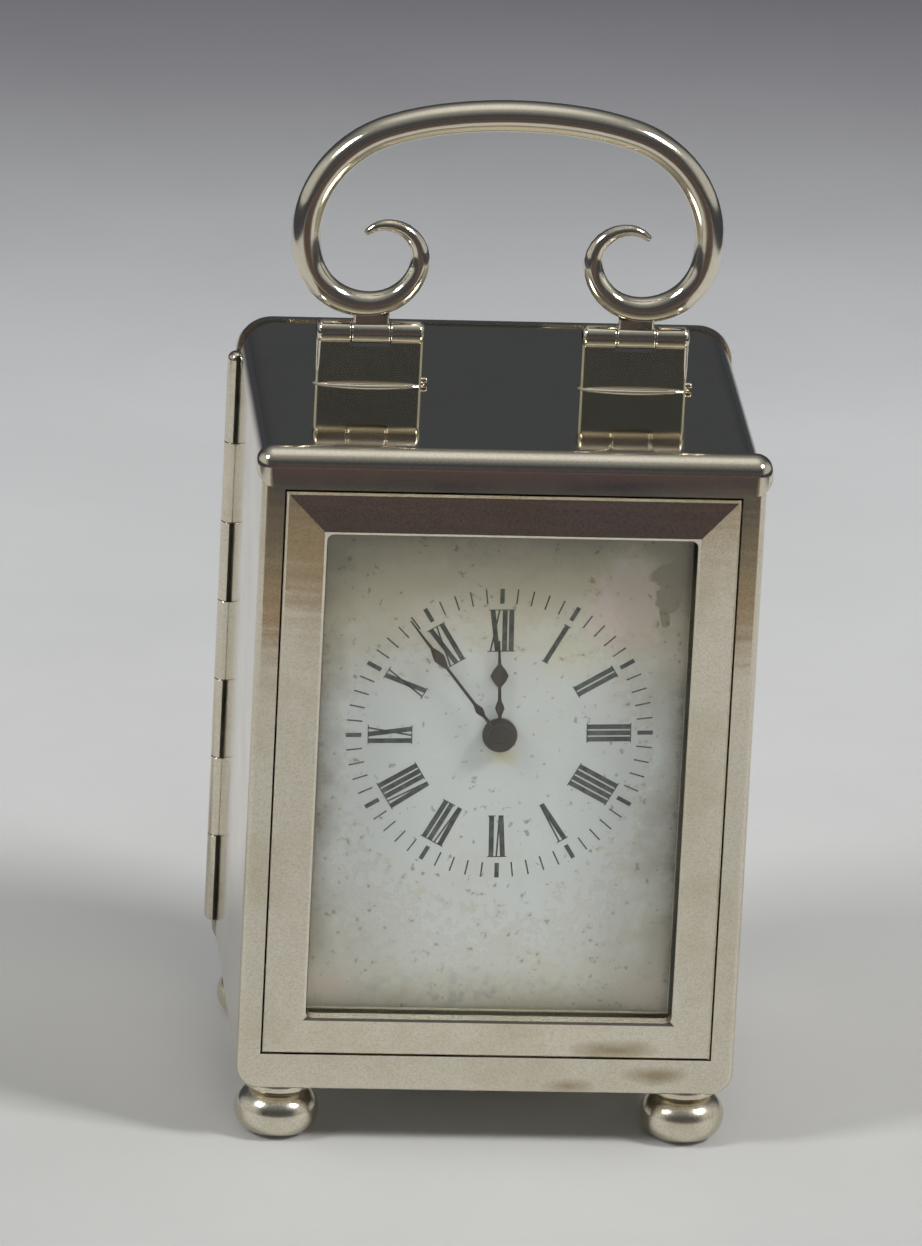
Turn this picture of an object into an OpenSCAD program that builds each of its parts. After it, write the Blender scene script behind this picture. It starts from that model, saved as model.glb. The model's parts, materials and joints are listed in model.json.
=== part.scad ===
// Silver carriage clock: case, folding scroll handle, back door, dial, hands and platform movement.
// Millimetres. +Z is up, -Y is the dial side. The origin is on the floor, under the middle of the box.

/* [Case] */
// Width of the case body
case_w = 50; // [46:0.5:60]
// Height of the case body, without its feet
case_h = 67.8; // [62:0.2:82]
// Depth of the case body, without its back door
case_d = 40; // [38:0.5:50]
// Thickness of the silver sheet
wall = 0.9; // [0.7:0.05:1.1]
// Radius of the two top corners, seen from the front
top_corner_r = 3.6; // [2:0.1:4.5]
// Radius of the two bottom corners, seen from the front
bottom_corner_r = 2.4; // [1.5:0.1:3.5]
// Thickness of the plate that closes the front
front_t = 1.0; // [0.8:0.05:1.2]
// Width of the front plate beside the bezel
side_border = 2.45; // [2:0.05:3.5]
// Width of the front plate below the bezel
bottom_border = 4; // [3:0.1:5]
// Distance from the top of the case to the bezel
top_border = 4.2; // [4:0.1:5]

/* [Top rim] */
// Height of the rim bead
rim_h = 3.6; // [3:0.1:3.9]
// How far the rim stands in front of the case
rim_front = 0.8; // [0.6:0.05:1]
// How far the rim stands out beside the case
rim_side = 0.6; // [0.4:0.05:0.8]
// How far the rim stands above the top plate
rim_up = 0.2; // [0.1:0.05:0.3]
// Length of the rim's lip along the case side
rim_lip = 1.4; // [1:0.1:2]

/* [Bezel and glass] */
// Width of a bezel member, seen from the front
bezel_w = 4.1; // [3.6:0.1:4.6]
// How far the bezel's inner edge stands in front of the case
bezel_proud = 0.95; // [0.6:0.05:1.2]
// Width of the lip that covers the edge of the glass
glass_lip = 1.0; // [0.8:0.1:1.3]
// Thickness of the glass
glass_t = 1.0; // [0.8:0.1:1.1]
// Distance from the case front back to the glass
glass_set = 0.6; // [0.4:0.1:0.7]
// Thickness of the frame that holds the glass
retainer_t = 0.6; // [0.5:0.1:0.7]

/* [Dial and hands] */
// Distance from the case front back to the dial
dial_set = 3.6; // [3.4:0.1:4]
// Thickness of the dial
dial_t = 1.0; // [0.8:0.1:1.2]
// Distance from the top of the case down to the dial's centre
dial_drop = 30.5; // [29.5:0.1:31]
// Length of the minute hand from the centre
minute_hand_l = 15.4; // [13:0.1:16.5]
// Length of the hour hand from the centre
hour_hand_l = 10; // [8:0.1:12]
// Angle of the minute hand at rest, clockwise from twelve
minute_rest = -38; // [-60:1:-20]
// Angle of the hour hand at rest, clockwise from twelve
hour_rest = -3; // [-10:1:0]

/* [Feet] */
// Diameter of a bun foot
foot_d = 8.5; // [7:0.1:9.5]
// Height of a foot with its neck
foot_h = 6; // [5.2:0.1:7.5]
// Distance of a foot's axis from the case edges
foot_in = 4.5; // [4.3:0.1:5]

/* [Handle] */
// Distance of each handle bracket from the middle of the case
bracket_x = 13.3; // [12.8:0.1:13.8]
// Width of a handle bracket
bracket_w = 10.7; // [9:0.1:12]
// Height of the handle's axis above the top plate
handle_axis_up = 5.5; // [5:0.1:6.5]
// Distance of the handle's axis from the case front
handle_axis_y = 21; // [18:0.5:23]
// Diameter of the handle's hinge barrel
handle_barrel_d = 2.4; // [2.2:0.1:2.6]
// Length of the handle's own knuckle
handle_knuckle_l = 3.8; // [3.4:0.1:4.4]
// Radius of the handle wire at the top of the arch
bail_r = 1.58; // [1.3:0.02:1.7]
// Height of the arch above the handle's axis
bail_up = 22.8; // [22.4:0.1:23.2]

/* [Back door] */
// Thickness of the back door
door_t = 1.2; // [1:0.1:1.6]
// Diameter of the door's hinge barrel
door_barrel_d = 2; // [1.8:0.1:2.2]
// Diameter of the door's hinge pin
door_pin_d = 0.9; // [0.8:0.05:1]
// Space below the door's hinge, from the case's bottom
hinge_below = 3.7; // [3:0.1:8]
// Space above the door's hinge, to the case's top
hinge_above = 4.4; // [4:0.1:8]
// Length of the door's hinge
door_hinge_l = case_h - hinge_below - hinge_above;

/* [Movement] */
// Thickness of the movement plates
plate_t = 1.6; // [1.4:0.1:2]
// Space between the dial and the movement's front plate
motion_gap = 3.4; // [3.4:0.1:4]
// Length of the mainspring barrel
barrel_l = 9.6; // [8:0.1:11.6]
// Space between the movement and the case sides
movement_side_gap = 4.1; // [3.5:0.1:5]

/* [Hidden] */
$fn = 64;

slip = 0.05;            // radial running clearance of a pin in its hole
pivot_slip = 0.04;      // radial clearance of a small pivot
seam = 0.12;            // visible gap round the bezel
far = 100;              // longer than any cut needs

// Levels of the case
case_z0 = foot_h;
case_z1 = foot_h + case_h;
inner_w = case_w - 2 * wall;
floor_z = case_z0 + wall;
ceiling_z = case_z1 - wall;
door_y0 = case_d;
door_y1 = case_d + door_t;

// Place of the whole clock over its origin
door_barrel_r = door_barrel_d / 2;
door_pin_r = door_pin_d / 2;
door_axis_x = -case_w / 2 - 0.1;
door_axis_y = door_y0;
catch_proud = 1.2;
box_x0 = door_axis_x - door_barrel_r;
box_x1 = case_w / 2 + rim_side;
box_y0 = -max(bezel_proud, rim_front);
box_y1 = door_y1 + catch_proud;
shift = [-(box_x0 + box_x1) / 2, -(box_y0 + box_y1) / 2, 0];

// Bezel
bezel_x = case_w / 2 - side_border;
bezel_z0 = case_z0 + bottom_border;
bezel_z1 = case_z1 - top_border;
open_x = bezel_x - bezel_w;
open_z0 = bezel_z0 + bezel_w;
open_z1 = bezel_z1 - bezel_w;
bezel_back = glass_set + glass_t + retainer_t;
flange_w = 0.9;

// Dial
dial_z = case_z1 - dial_drop;
dial_back = dial_set + dial_t;
dial_half_w = open_x + 3;
dial_z0 = open_z0 - 3;
dial_z1 = open_z1 + 3;

// Movement plates
front_plate_y = dial_back + motion_gap;
train_y = front_plate_y + plate_t;
barrel_y = train_y + 7.4;
back_plate_y = barrel_y + barrel_l + 2;
movement_y1 = back_plate_y + plate_t;
plate_half_w = inner_w / 2 - movement_side_gap;
platform_t = 1.2;
platform_z = ceiling_z - 11.9;
plate_h = platform_z - floor_z;
pillar_r = 2;
pillar_x = plate_half_w - 3.6;
pillar_z0 = floor_z + pillar_r;
pillar_z1 = platform_z - 6;
pillar_places = [for (x = [-pillar_x, pillar_x], z = [pillar_z0, pillar_z1]) [x, z]];
pillar_screw_r = 0.7;
post_x = open_x - 1.5;
post_places = [for (x = [-post_x, post_x], z = [open_z0, platform_z - 3]) [x, z]];

// Train: wheel centres in the plates, and tooth sizes
pivot_r = 0.3;
arbor_r = 0.6;
centre_r = 0.9;
barrel_mod = 0.27;
barrel_teeth = 84;
centre_leaves = 12;
centre_mod = 0.2;
centre_teeth = 80;
third_leaves = 10;
third_mod = 0.18;
third_teeth = 75;
contrate_leaves = 10;
contrate_mod = 0.18;
contrate_teeth = 70;
escape_leaves = 7;
escape_teeth = 15;
barrel_distance = barrel_mod * (barrel_teeth + centre_leaves) / 2;
third_distance = centre_mod * (centre_teeth + third_leaves) / 2;
contrate_distance = third_mod * (third_teeth + contrate_leaves) / 2;
contrate_up = 9.5;
third_up = (contrate_up * contrate_up + third_distance * third_distance
    - contrate_distance * contrate_distance) / (2 * contrate_up);
third_side = sqrt(third_distance * third_distance - third_up * third_up);
barrel_side = -5;
barrel_down = sqrt(barrel_distance * barrel_distance - barrel_side * barrel_side);
centre_at = [0, dial_z];
barrel_at = [barrel_side, dial_z - barrel_down];
third_at = [third_side, dial_z + third_up];
contrate_at = [0, dial_z + contrate_up];

// Motion work
motion_distance = 6;
cannon_leaves = 12;
minute_teeth = 36;
minute_leaves = 10;
hour_teeth = 40;
minute_mod = 2 * motion_distance / (cannon_leaves + minute_teeth);
hour_mod = 2 * motion_distance / (minute_leaves + hour_teeth);
minute_angle = -40;
minute_at = [motion_distance * cos(minute_angle), dial_z + motion_distance * sin(minute_angle)];

// Places along the train, front to back
contrate_y = train_y + 1;
crown_y = contrate_y + 3.1;
centre_wheel_y = train_y + 5;
third_wheel_y = train_y + 10.9;
barrel_teeth_t = 1.4;
barrel_teeth_y = barrel_y + barrel_l - barrel_teeth_t;
square_y = case_d - 1;

// Platform escapement, seen from above
escape_y = crown_y - contrate_mod + contrate_mod * escape_leaves / 2;
escape_r = 2.6;
lever_y = escape_y + escape_r / cos(30);
balance_y = lever_y + 4;
platform_top = platform_z + platform_t;
escape_z = platform_top + 0.8;
lever_t = 0.5;
roller_z = platform_top + 1.5;
balance_z = platform_top + 3.8;
hairspring_z = platform_top + 5.5;
cock_z = platform_top + 6.4;
cock_t = 1;
balance_r = 6.5;
staff_pivot_r = 0.15;
staff_slip = 0.03;

// Handle
handle_axis_z = case_z1 + handle_axis_up;
handle_barrel_r = handle_barrel_d / 2;
handle_pin_r = 0.55;
// Each stretch of the half handle: radius and sweep, from the top of the arch to the scroll's tip
BAIL_ARCS = [[49, 8], [30, 10.5], [11.8, 47.5], [11.1, 37], [6.2, 87.5], [5, 71], [3.5, 102], [2.6, 41]];
bail_sides = 12;

module place() {
    translate(shift) children();
}

// A flat shape drawn as seen from the front, made a slab from y0 back to y1
module slab(y0, y1) {
    translate([0, y1, 0]) rotate([90, 0, 0]) linear_extrude(y1 - y0) children();
}

module rod_y(at, r, y0, y1) {
    slab(y0, y1) translate(at) circle(r);
}

module rod_z(x, y, r, z0, z1) {
    translate([x, y, z0]) cylinder(h = z1 - z0, r = r);
}

module rod_x(x0, x1, y, z, r) {
    translate([x0, y, z]) rotate([0, 90, 0]) cylinder(h = x1 - x0, r = r);
}

// Rectangle with its own corner radius at the top and at the bottom
module outline(w, z0, z1, top_r, bottom_r) {
    translate([-w / 2 + bottom_r, z0]) square([w - 2 * bottom_r, bottom_r + 0.01]);
    translate([-w / 2, z0 + bottom_r]) square([w, z1 - z0 - bottom_r - top_r]);
    translate([-w / 2 + top_r, z1 - top_r - 0.01]) square([w - 2 * top_r, top_r + 0.01]);
    for (s = [-1, 1]) {
        translate([s * (w / 2 - bottom_r), z0 + bottom_r]) circle(bottom_r);
        translate([s * (w / 2 - top_r), z1 - top_r]) circle(top_r);
    }
}

module case_outline(inset) {
    outline(case_w - 2 * inset, case_z0 + inset, case_z1 - inset,
        top_corner_r - inset, bottom_corner_r - inset);
}

function pitch_r(teeth, mod) = teeth * mod / 2;

// Turn for a gear's first tooth, so that a gap stands in the direction given
function gap_turn(direction, teeth) = direction + 180 / teeth;

// Tooth outline: share of the pitch that is metal at the root, the pitch circle and the tip
module gear(teeth, mod, turn = 0, thin = 0) {
    r = pitch_r(teeth, mod);
    step = 360 / teeth;
    root = [r - 1.15 * mod, 0.25 - thin];
    mid = [r, 0.21 - thin];
    tip = [r + 0.85 * mod, 0.09];
    flank = [root, mid, tip];
    points = [for (i = [0:teeth - 1]) each [
        for (p = flank) p[0] * [cos(turn + (i - p[1]) * step), sin(turn + (i - p[1]) * step)],
        for (k = [2:-1:0]) flank[k][0] * [cos(turn + (i + flank[k][1]) * step),
            sin(turn + (i + flank[k][1]) * step)]]];
    polygon(points);
}

// Wheel with a toothed rim, a hub and spokes
module spoked_gear(teeth, mod, turn, rim, hub_r, spokes) {
    r = pitch_r(teeth, mod);
    difference() {
        gear(teeth, mod, turn);
        circle(r - rim);
    }
    circle(hub_r);
    for (i = [0:spokes - 1]) {
        rotate(i * 360 / spokes + 20) translate([0, -0.35]) square([r - rim + 0.1, 0.7]);
    }
}

// Screw with a slotted head: its head's top is at z = 0 and its shank points down
module screw(shank_r, shank_l, head_r, head_t) {
    difference() {
        union() {
            translate([0, 0, -head_t]) cylinder(h = head_t, r = head_r);
            translate([0, 0, -head_t - shank_l]) cylinder(h = shank_l, r = shank_r);
        }
        translate([-head_r, -head_r * 0.12, -head_t * 0.45])
            cube([2 * head_r, head_r * 0.24, head_t]);
    }
}

// ---- case ----

hinge_z0 = case_z0 + hinge_below;
hinge_z1 = hinge_z0 + door_hinge_l;
hinge_knuckles = 7;
knuckle_pitch = door_hinge_l / hinge_knuckles;
knuckle_gap = 0.12;
door_knuckles = [0, 2, 4, 6];
case_knuckles = [1, 3, 5];
foot_x = case_w / 2 - foot_in;
foot_y0 = foot_in;
foot_y1 = case_d - foot_in;
foot_places = [[-foot_x, foot_y0], [foot_x, foot_y0], [-foot_x, foot_y1], [foot_x, foot_y1]];
foot_screw_r = 0.8;
case_screw_r = 0.6;
case_screw_places = [for (x = [-pillar_x, pillar_x], y = [train_y + 6, back_plate_y - 6]) [x, y]];
bracket_screw_r = 0.4;
bracket_screw_dx = 3.2;
bracket_screw_places = [for (x = [-bracket_x, bracket_x], d = [-bracket_screw_dx, bracket_screw_dx])
    [x + d, handle_axis_y]];

// Room for the turning knuckles, cut from the door's edge
module hinge_channel() {
    rod_z(door_axis_x, door_axis_y, door_barrel_r + 0.08, hinge_z0 - 0.2, hinge_z1 + 0.2);
}

module case_shell() {
    color("silver") place() difference() {
        slab(front_t, case_d) case_outline(0);
        slab(0, far) case_outline(wall);
        translate([-far, door_axis_y - door_barrel_r - 0.08, hinge_z0 - 0.2])
            cube([far - case_w / 2 + wall, far, door_hinge_l + 0.4]);
        for (p = foot_places) rod_z(p[0], p[1], foot_screw_r + slip, case_z0 - 1, floor_z + 1);
        for (p = case_screw_places) rod_z(p[0], p[1], case_screw_r + slip, case_z0 - 1, floor_z + 1);
        for (p = bracket_screw_places)
            rod_z(p[0], p[1], bracket_screw_r + slip, ceiling_z - 1, case_z1 + 1);
    }
}

module front_frame() {
    color("silver") place() difference() {
        slab(0, front_t) case_outline(0);
        slab(-1, front_t + 1) translate([-bezel_x - seam, bezel_z0 - seam])
            square([2 * (bezel_x + seam), bezel_z1 - bezel_z0 + 2 * seam]);
    }
}

// Bead along the top of the front, wrapped over the case's top and sides
module top_rim() {
    rim_w = case_w + 2 * rim_side;
    rim_z1 = case_z1 + rim_up;
    rim_z0 = rim_z1 - rim_h - rim_up;
    rim_corner_r = 1.2;
    nose_r = 0.75;
    color("silver") place() difference() {
        intersection() {
            slab(-rim_front, rim_lip) outline(rim_w, rim_z0, rim_z1, rim_corner_r, rim_corner_r);
            translate([-rim_w / 2, 0, 0]) rotate([90, 0, 90]) linear_extrude(rim_w) {
                translate([-rim_front + nose_r, rim_z0]) square([rim_lip + rim_front, rim_z1 - rim_z0]);
                translate([-rim_front, rim_z0 + nose_r])
                    square([rim_lip, rim_z1 - rim_z0 - 2 * nose_r]);
                for (z = [rim_z0 + nose_r, rim_z1 - nose_r])
                    translate([-rim_front + nose_r, z]) circle(nose_r);
            }
        }
        slab(0, far) case_outline(0);
    }
}

// Section of the bezel: x from its outer edge inwards, y forward
module bezel_section() {
    polygon([[0, -0.05], [0.25, 0.3], [bezel_w - 0.5, bezel_proud], [bezel_w, bezel_proud - 0.2],
        [bezel_w, -glass_set], [bezel_w - glass_lip, -glass_set], [bezel_w - glass_lip, -bezel_back],
        [-flange_w, -bezel_back], [-flange_w, -front_t], [0, -front_t]]);
}

// One mitred member: half its outer length, drawn along x with its outer edge at z = 0
module bezel_member(half) {
    reach = bezel_w + 2 * flange_w;
    intersection() {
        translate([-half - flange_w, 0, 0]) rotate([90, 0, 90])
            linear_extrude(2 * (half + flange_w)) rotate(90) bezel_section();
        slab(-bezel_proud - 1, bezel_back + 1) polygon([[-half - flange_w, -flange_w],
            [half + flange_w, -flange_w], [half + flange_w - reach, reach - flange_w],
            [-half - flange_w + reach, reach - flange_w]]);
    }
}

module bezel() {
    half_h = (bezel_z1 - bezel_z0) / 2;
    mid_z = (bezel_z0 + bezel_z1) / 2;
    color("gainsboro") place() {
        translate([0, 0, bezel_z0]) bezel_member(bezel_x);
        translate([0, 0, bezel_z1]) rotate([0, 180, 0]) bezel_member(bezel_x);
        translate([-bezel_x, 0, mid_z]) rotate([0, 90, 0]) bezel_member(half_h);
        translate([bezel_x, 0, mid_z]) rotate([0, -90, 0]) bezel_member(half_h);
    }
}

module glass_outline(grow) {
    translate([-open_x - grow, open_z0 - grow])
        square([2 * (open_x + grow), open_z1 - open_z0 + 2 * grow]);
}

module glass_pane() {
    color("lightblue", 0.35) place()
        slab(glass_set, glass_set + glass_t) glass_outline(glass_lip - slip);
}

module glass_retainer() {
    color("silver") place() slab(glass_set + glass_t, bezel_back) difference() {
        glass_outline(glass_lip - slip);
        glass_outline(-0.3);
    }
}

module dial_plate() {
    color("ivory") place() difference() {
        slab(dial_set, dial_back) translate([-dial_half_w, dial_z0])
            square([2 * dial_half_w, dial_z1 - dial_z0]);
        rod_y(centre_at, 1.7, dial_set - 1, dial_back + 1);
    }
}

module dial_posts() {
    color("goldenrod") place() for (p = post_places) rod_y(p, 1.2, dial_back, front_plate_y);
}

// Upright plate with two barrel knuckles, on a lens-shaped foot
module bracket(x) {
    plate_half_t = 0.6;
    slot_half = handle_knuckle_l / 2 + 0.1;
    foot_t = 0.5;
    foot_r = 12;
    foot_off = foot_r - 1.5;
    barrel_end = bracket_w / 2;
    translate([x, handle_axis_y, 0]) difference() {
        union() {
            translate([-bracket_w / 2, -plate_half_t, case_z1])
                cube([bracket_w, 2 * plate_half_t, handle_axis_up]);
            rod_x(-barrel_end, barrel_end, 0, handle_axis_z, handle_barrel_r);
            intersection() {
                rod_z(0, foot_off, foot_r, case_z1, case_z1 + foot_t);
                rod_z(0, -foot_off, foot_r, case_z1, case_z1 + foot_t);
            }
            rod_x(bracket_w / 2, bracket_w / 2 + 0.6, 0, case_z1 + 0.45, 0.4);
        }
        translate([-slot_half, -far / 2, handle_axis_z - handle_barrel_r - 0.25])
            cube([2 * slot_half, far, far]);
        rod_x(-barrel_end - 1, barrel_end + 1, 0, handle_axis_z, handle_pin_r);
        for (d = [-bracket_screw_dx, bracket_screw_dx])
            rod_z(d, 0, bracket_screw_r, case_z1 - 1, case_z1 + 2.2);
    }
}

module bracket_left() {
    color("silver") place() bracket(-bracket_x);
}

module bracket_right() {
    color("silver") place() bracket(bracket_x);
}

module bracket_screws() {
    color("slategray") place() for (p = bracket_screw_places)
        translate([p[0], p[1], ceiling_z - 0.7]) mirror([0, 0, 1])
            screw(bracket_screw_r, wall + 2, 0.9, 0.7);
}

module handle_pins() {
    color("slategray") place() for (x = [-bracket_x, bracket_x])
        rod_x(x - bracket_w / 2, x + bracket_w / 2, handle_axis_y, handle_axis_z, handle_pin_r);
}

function knuckle_z0(i) = hinge_z0 + i * knuckle_pitch + knuckle_gap / 2;
function knuckle_z1(i) = hinge_z0 + (i + 1) * knuckle_pitch - knuckle_gap / 2;

module case_hinge() {
    leaf_t = 0.7;
    leaf_x = -case_w / 2 + wall;
    leaf_y = door_axis_y - 5;
    color("silver") place() difference() {
        union() {
            difference() {
                translate([leaf_x, leaf_y, hinge_z0]) cube([leaf_t, 4.9, door_hinge_l]);
                for (i = door_knuckles) rod_z(door_axis_x, door_axis_y, door_barrel_r + slip,
                    knuckle_z0(i) - 0.1, knuckle_z1(i) + 0.1);
            }
            for (i = case_knuckles) {
                rod_z(door_axis_x, door_axis_y, door_barrel_r, knuckle_z0(i), knuckle_z1(i));
                translate([door_axis_x, door_axis_y - 0.95, knuckle_z0(i)])
                    cube([leaf_x - door_axis_x + 0.1, 0.85, knuckle_z1(i) - knuckle_z0(i)]);
            }
        }
        rod_z(door_axis_x, door_axis_y, door_pin_r, hinge_z0 - 1, hinge_z1 + 1);
    }
}

module door_hinge_pin() {
    color("slategray") place()
        rod_z(door_axis_x, door_axis_y, door_pin_r, hinge_z0 + 0.3, hinge_z1 - 0.3);
}

module back_door() {
    color("silver") place() difference() {
        union() {
            difference() {
                slab(door_y0 + slip, door_y1) case_outline(0);
                hinge_channel();
            }
            for (i = door_knuckles) {
                rod_z(door_axis_x, door_axis_y, door_barrel_r, knuckle_z0(i), knuckle_z1(i));
                translate([door_axis_x, door_axis_y + 0.1, knuckle_z0(i)])
                    cube([2, 0.85, knuckle_z1(i) - knuckle_z0(i)]);
            }
        }
        rod_z(door_axis_x, door_axis_y, door_pin_r + slip, hinge_z0 - 1, hinge_z1 + 1);
    }
}

// Thumb nib outside the door and the sprung tongue that grips inside the case
module door_catch() {
    catch_z = (case_z0 + case_z1) / 2;
    tongue_x = inner_w / 2 - 0.9;
    color("silver") place() {
        translate([tongue_x - 1.6, door_y1, catch_z - 3]) cube([2, catch_proud, 6]);
        difference() {
            translate([tongue_x - 0.5, door_y0 - 3.5, catch_z - 3]) cube([0.6, 3.55, 6]);
            rod_z(tongue_x - 0.6, door_y0 - 2, 0.3, catch_z - 4, catch_z + 4);
        }
    }
}

module foot(p) {
    neck_h = 1.1;
    bun_h = foot_h - neck_h;
    bun_r = foot_d / 2;
    neck_r = bun_r - 0.85;
    round_r = bun_h / 2;
    rest_r = bun_r - round_r;
    translate([p[0], p[1], 0]) difference() {
        rotate_extrude() {
            square([rest_r, bun_h]);
            intersection() {
                translate([rest_r, round_r]) circle(round_r);
                square([bun_r, bun_h]);
            }
            translate([0, bun_h]) square([neck_r, neck_h]);
        }
        rod_z(0, 0, foot_screw_r, foot_h - 3.2, foot_h + 1);
    }
}

module foot_front_left() {
    color("gainsboro") place() foot(foot_places[0]);
}

module foot_front_right() {
    color("gainsboro") place() foot(foot_places[1]);
}

module foot_rear_left() {
    color("gainsboro") place() foot(foot_places[2]);
}

module foot_rear_right() {
    color("gainsboro") place() foot(foot_places[3]);
}

module foot_screws() {
    color("slategray") place() for (p = foot_places)
        translate([p[0], p[1], floor_z + 0.8]) screw(foot_screw_r, wall + 3, 1.5, 0.8);
}

module case_screws() {
    color("slategray") place() for (p = case_screw_places)
        translate([p[0], p[1], case_z0 - 0.8]) mirror([0, 0, 1]) screw(case_screw_r, wall + 1.8, 1.1, 0.8);
}

// ---- movement frame ----

module plate_outline() {
    difference() {
        translate([-plate_half_w, floor_z]) square([2 * plate_half_w, plate_h]);
        for (p = pillar_places) translate(p) circle(pillar_screw_r + slip);
    }
}

platform_screw_r = 0.45;
platform_half_w = 14;
platform_screw_places = [for (x = [-platform_half_w + 2, platform_half_w - 2],
    y = [front_plate_y + plate_t / 2, back_plate_y + plate_t / 2]) [x, y]];

module front_plate() {
    color("gold") place() difference() {
        slab(front_plate_y, train_y) plate_outline();
        rod_y(centre_at, 0.7 + slip, 0, far);
        rod_y(barrel_at, 0.8 + slip, 0, far);
        rod_y(third_at, pivot_r + pivot_slip, 0, far);
        rod_y(contrate_at, pivot_r + pivot_slip, 0, far);
        rod_y(minute_at, 0.5, 0, far);
        for (p = platform_screw_places) rod_z(p[0], p[1], platform_screw_r, platform_z - 3, far);
    }
}

click_at = [barrel_at[0] - 4.6, barrel_at[1] + 5];
click_spring_at = [click_at[0] + 1, click_at[1] + 4.2];

module back_plate() {
    color("gold") place() difference() {
        slab(back_plate_y, movement_y1) plate_outline();
        rod_y(centre_at, 0.7 + slip, 0, far);
        rod_y(barrel_at, 1.4 + slip, 0, far);
        rod_y(third_at, pivot_r + pivot_slip, 0, far);
        rod_y(contrate_at, pivot_r + pivot_slip, 0, far);
        rod_y(click_at, 0.5, 0, far);
        rod_y(click_spring_at, 0.5, 0, far);
        for (p = platform_screw_places) rod_z(p[0], p[1], platform_screw_r, platform_z - 3, far);
    }
}

module pillars() {
    color("gold") place() difference() {
        for (p = pillar_places) rod_y(p, pillar_r, train_y, back_plate_y);
        for (p = pillar_places) {
            rod_y(p, pillar_screw_r, train_y - 1, train_y + 4);
            rod_y(p, pillar_screw_r, back_plate_y - 4, back_plate_y + 1);
        }
        for (p = case_screw_places) rod_z(p[0], p[1], case_screw_r, floor_z - 1, floor_z + 2);
    }
}

module pillar_screws() {
    color("steelblue") place() for (p = pillar_places) {
        translate([p[0], front_plate_y - 0.8, p[1]]) rotate([90, 0, 0])
            screw(pillar_screw_r, plate_t + 3.5, 1.4, 0.8);
        translate([p[0], movement_y1 + 0.8, p[1]]) rotate([-90, 0, 0])
            screw(pillar_screw_r, plate_t + 3.5, 1.4, 0.8);
    }
}

potence_leg_y = escape_y + 2.6;
bridge_foot_x = 5;
cock_foot_y = balance_y + balance_r + 0.8;
small_screw_r = 0.4;

module platform_plate() {
    color("silver") place() difference() {
        translate([-platform_half_w, front_plate_y, platform_z])
            cube([2 * platform_half_w, movement_y1 - front_plate_y, platform_t]);
        rod_z(0, escape_y, 1, platform_z - 1, platform_top + 1);
        rod_z(0, lever_y, 0.15 + staff_slip, platform_z - 1, platform_top + 1);
        rod_z(0, balance_y, staff_pivot_r + staff_slip, platform_z - 1, platform_top + 1);
        for (p = platform_screw_places)
            rod_z(p[0], p[1], platform_screw_r + slip, platform_z - 1, platform_top + 1);
    }
}

module platform_screws() {
    color("steelblue") place() for (p = platform_screw_places)
        translate([p[0], p[1], platform_top + 0.6]) screw(platform_screw_r, platform_t + 2.5, 0.8, 0.6);
}

// Bracket under the platform that carries the foot of the escape arbor
module escape_potence() {
    color("gold") place() difference() {
        union() {
            translate([-1.2, potence_leg_y - 0.9, platform_z - 4]) cube([2.4, 1.8, 4]);
            translate([-1.2, escape_y, platform_z - 4]) cube([2.4, 2, 0.9]);
            rod_z(0, escape_y, 1.2, platform_z - 4, platform_z - 3.1);
        }
        slab(0, crown_y + 0.15) translate([-3, platform_z - 5]) square([6, 5]);
        rod_z(0, escape_y, 0.2 + pivot_slip, platform_z - 5, platform_z - 2);
    }
}

module escape_bridge() {
    bridge_z = platform_top + 2.2;
    bridge_y0 = escape_y - 1.2;
    bridge_l = lever_y - escape_y + 2.2;
    color("gold") place() difference() {
        union() {
            translate([-bridge_foot_x, bridge_y0, bridge_z]) cube([2 * bridge_foot_x, bridge_l, 0.8]);
            for (s = [-1, 1]) translate([s * (bridge_foot_x - 0.6) - 0.6, bridge_y0, platform_top])
                cube([1.2, bridge_l, 2.3]);
        }
        rod_z(0, escape_y, 0.2 + pivot_slip, bridge_z - 1, bridge_z + 2);
        rod_z(0, lever_y, 0.15 + staff_slip, bridge_z - 1, bridge_z + 2);
    }
}

module balance_cock() {
    color("gold") place() difference() {
        union() {
            translate([-3, cock_foot_y, platform_top])
                cube([6, movement_y1 - cock_foot_y, cock_z - platform_top]);
            translate([-1.6, balance_y, cock_z]) cube([3.2, cock_foot_y - balance_y + 0.5, cock_t]);
            translate([-3, cock_foot_y, cock_z]) cube([6, movement_y1 - cock_foot_y, cock_t]);
            rod_z(0, balance_y, 2, cock_z, cock_z + cock_t);
            rod_z(0, balance_y, 1, cock_z + cock_t, cock_z + cock_t + 0.6);
        }
        rod_z(0, balance_y, staff_pivot_r + staff_slip, cock_z - 1, cock_z + cock_t + 1);
    }
}

// ---- motion work, hands and train ----

module minute_wheel_stud() {
    color("slategray") place() rod_y(minute_at, 0.5, front_plate_y - 2.9, train_y);
}

cannon_y = front_plate_y - 1.4;
centre_front_r = 0.55;

module centre_arbor() {
    sq = 1.3;
    color("lightsteelblue") place() {
        rod_y(centre_at, centre_front_r, 2.2, front_plate_y - 0.1);
        rod_y(centre_at, 0.7, front_plate_y - 0.1, train_y + 0.1);
        rod_y(centre_at, centre_r, train_y + 0.1, back_plate_y - 0.1);
        rod_y(centre_at, 0.7, back_plate_y - 0.1, movement_y1 + 0.4);
        slab(movement_y1 + 0.4, square_y) translate([-sq / 2, dial_z - sq / 2]) square(sq);
        slab(barrel_teeth_y - 0.6, barrel_y + barrel_l + 1) translate(centre_at)
            gear(centre_leaves, barrel_mod, gap_turn(atan2(-barrel_down, barrel_side), centre_leaves), 0.03);
    }
}

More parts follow.
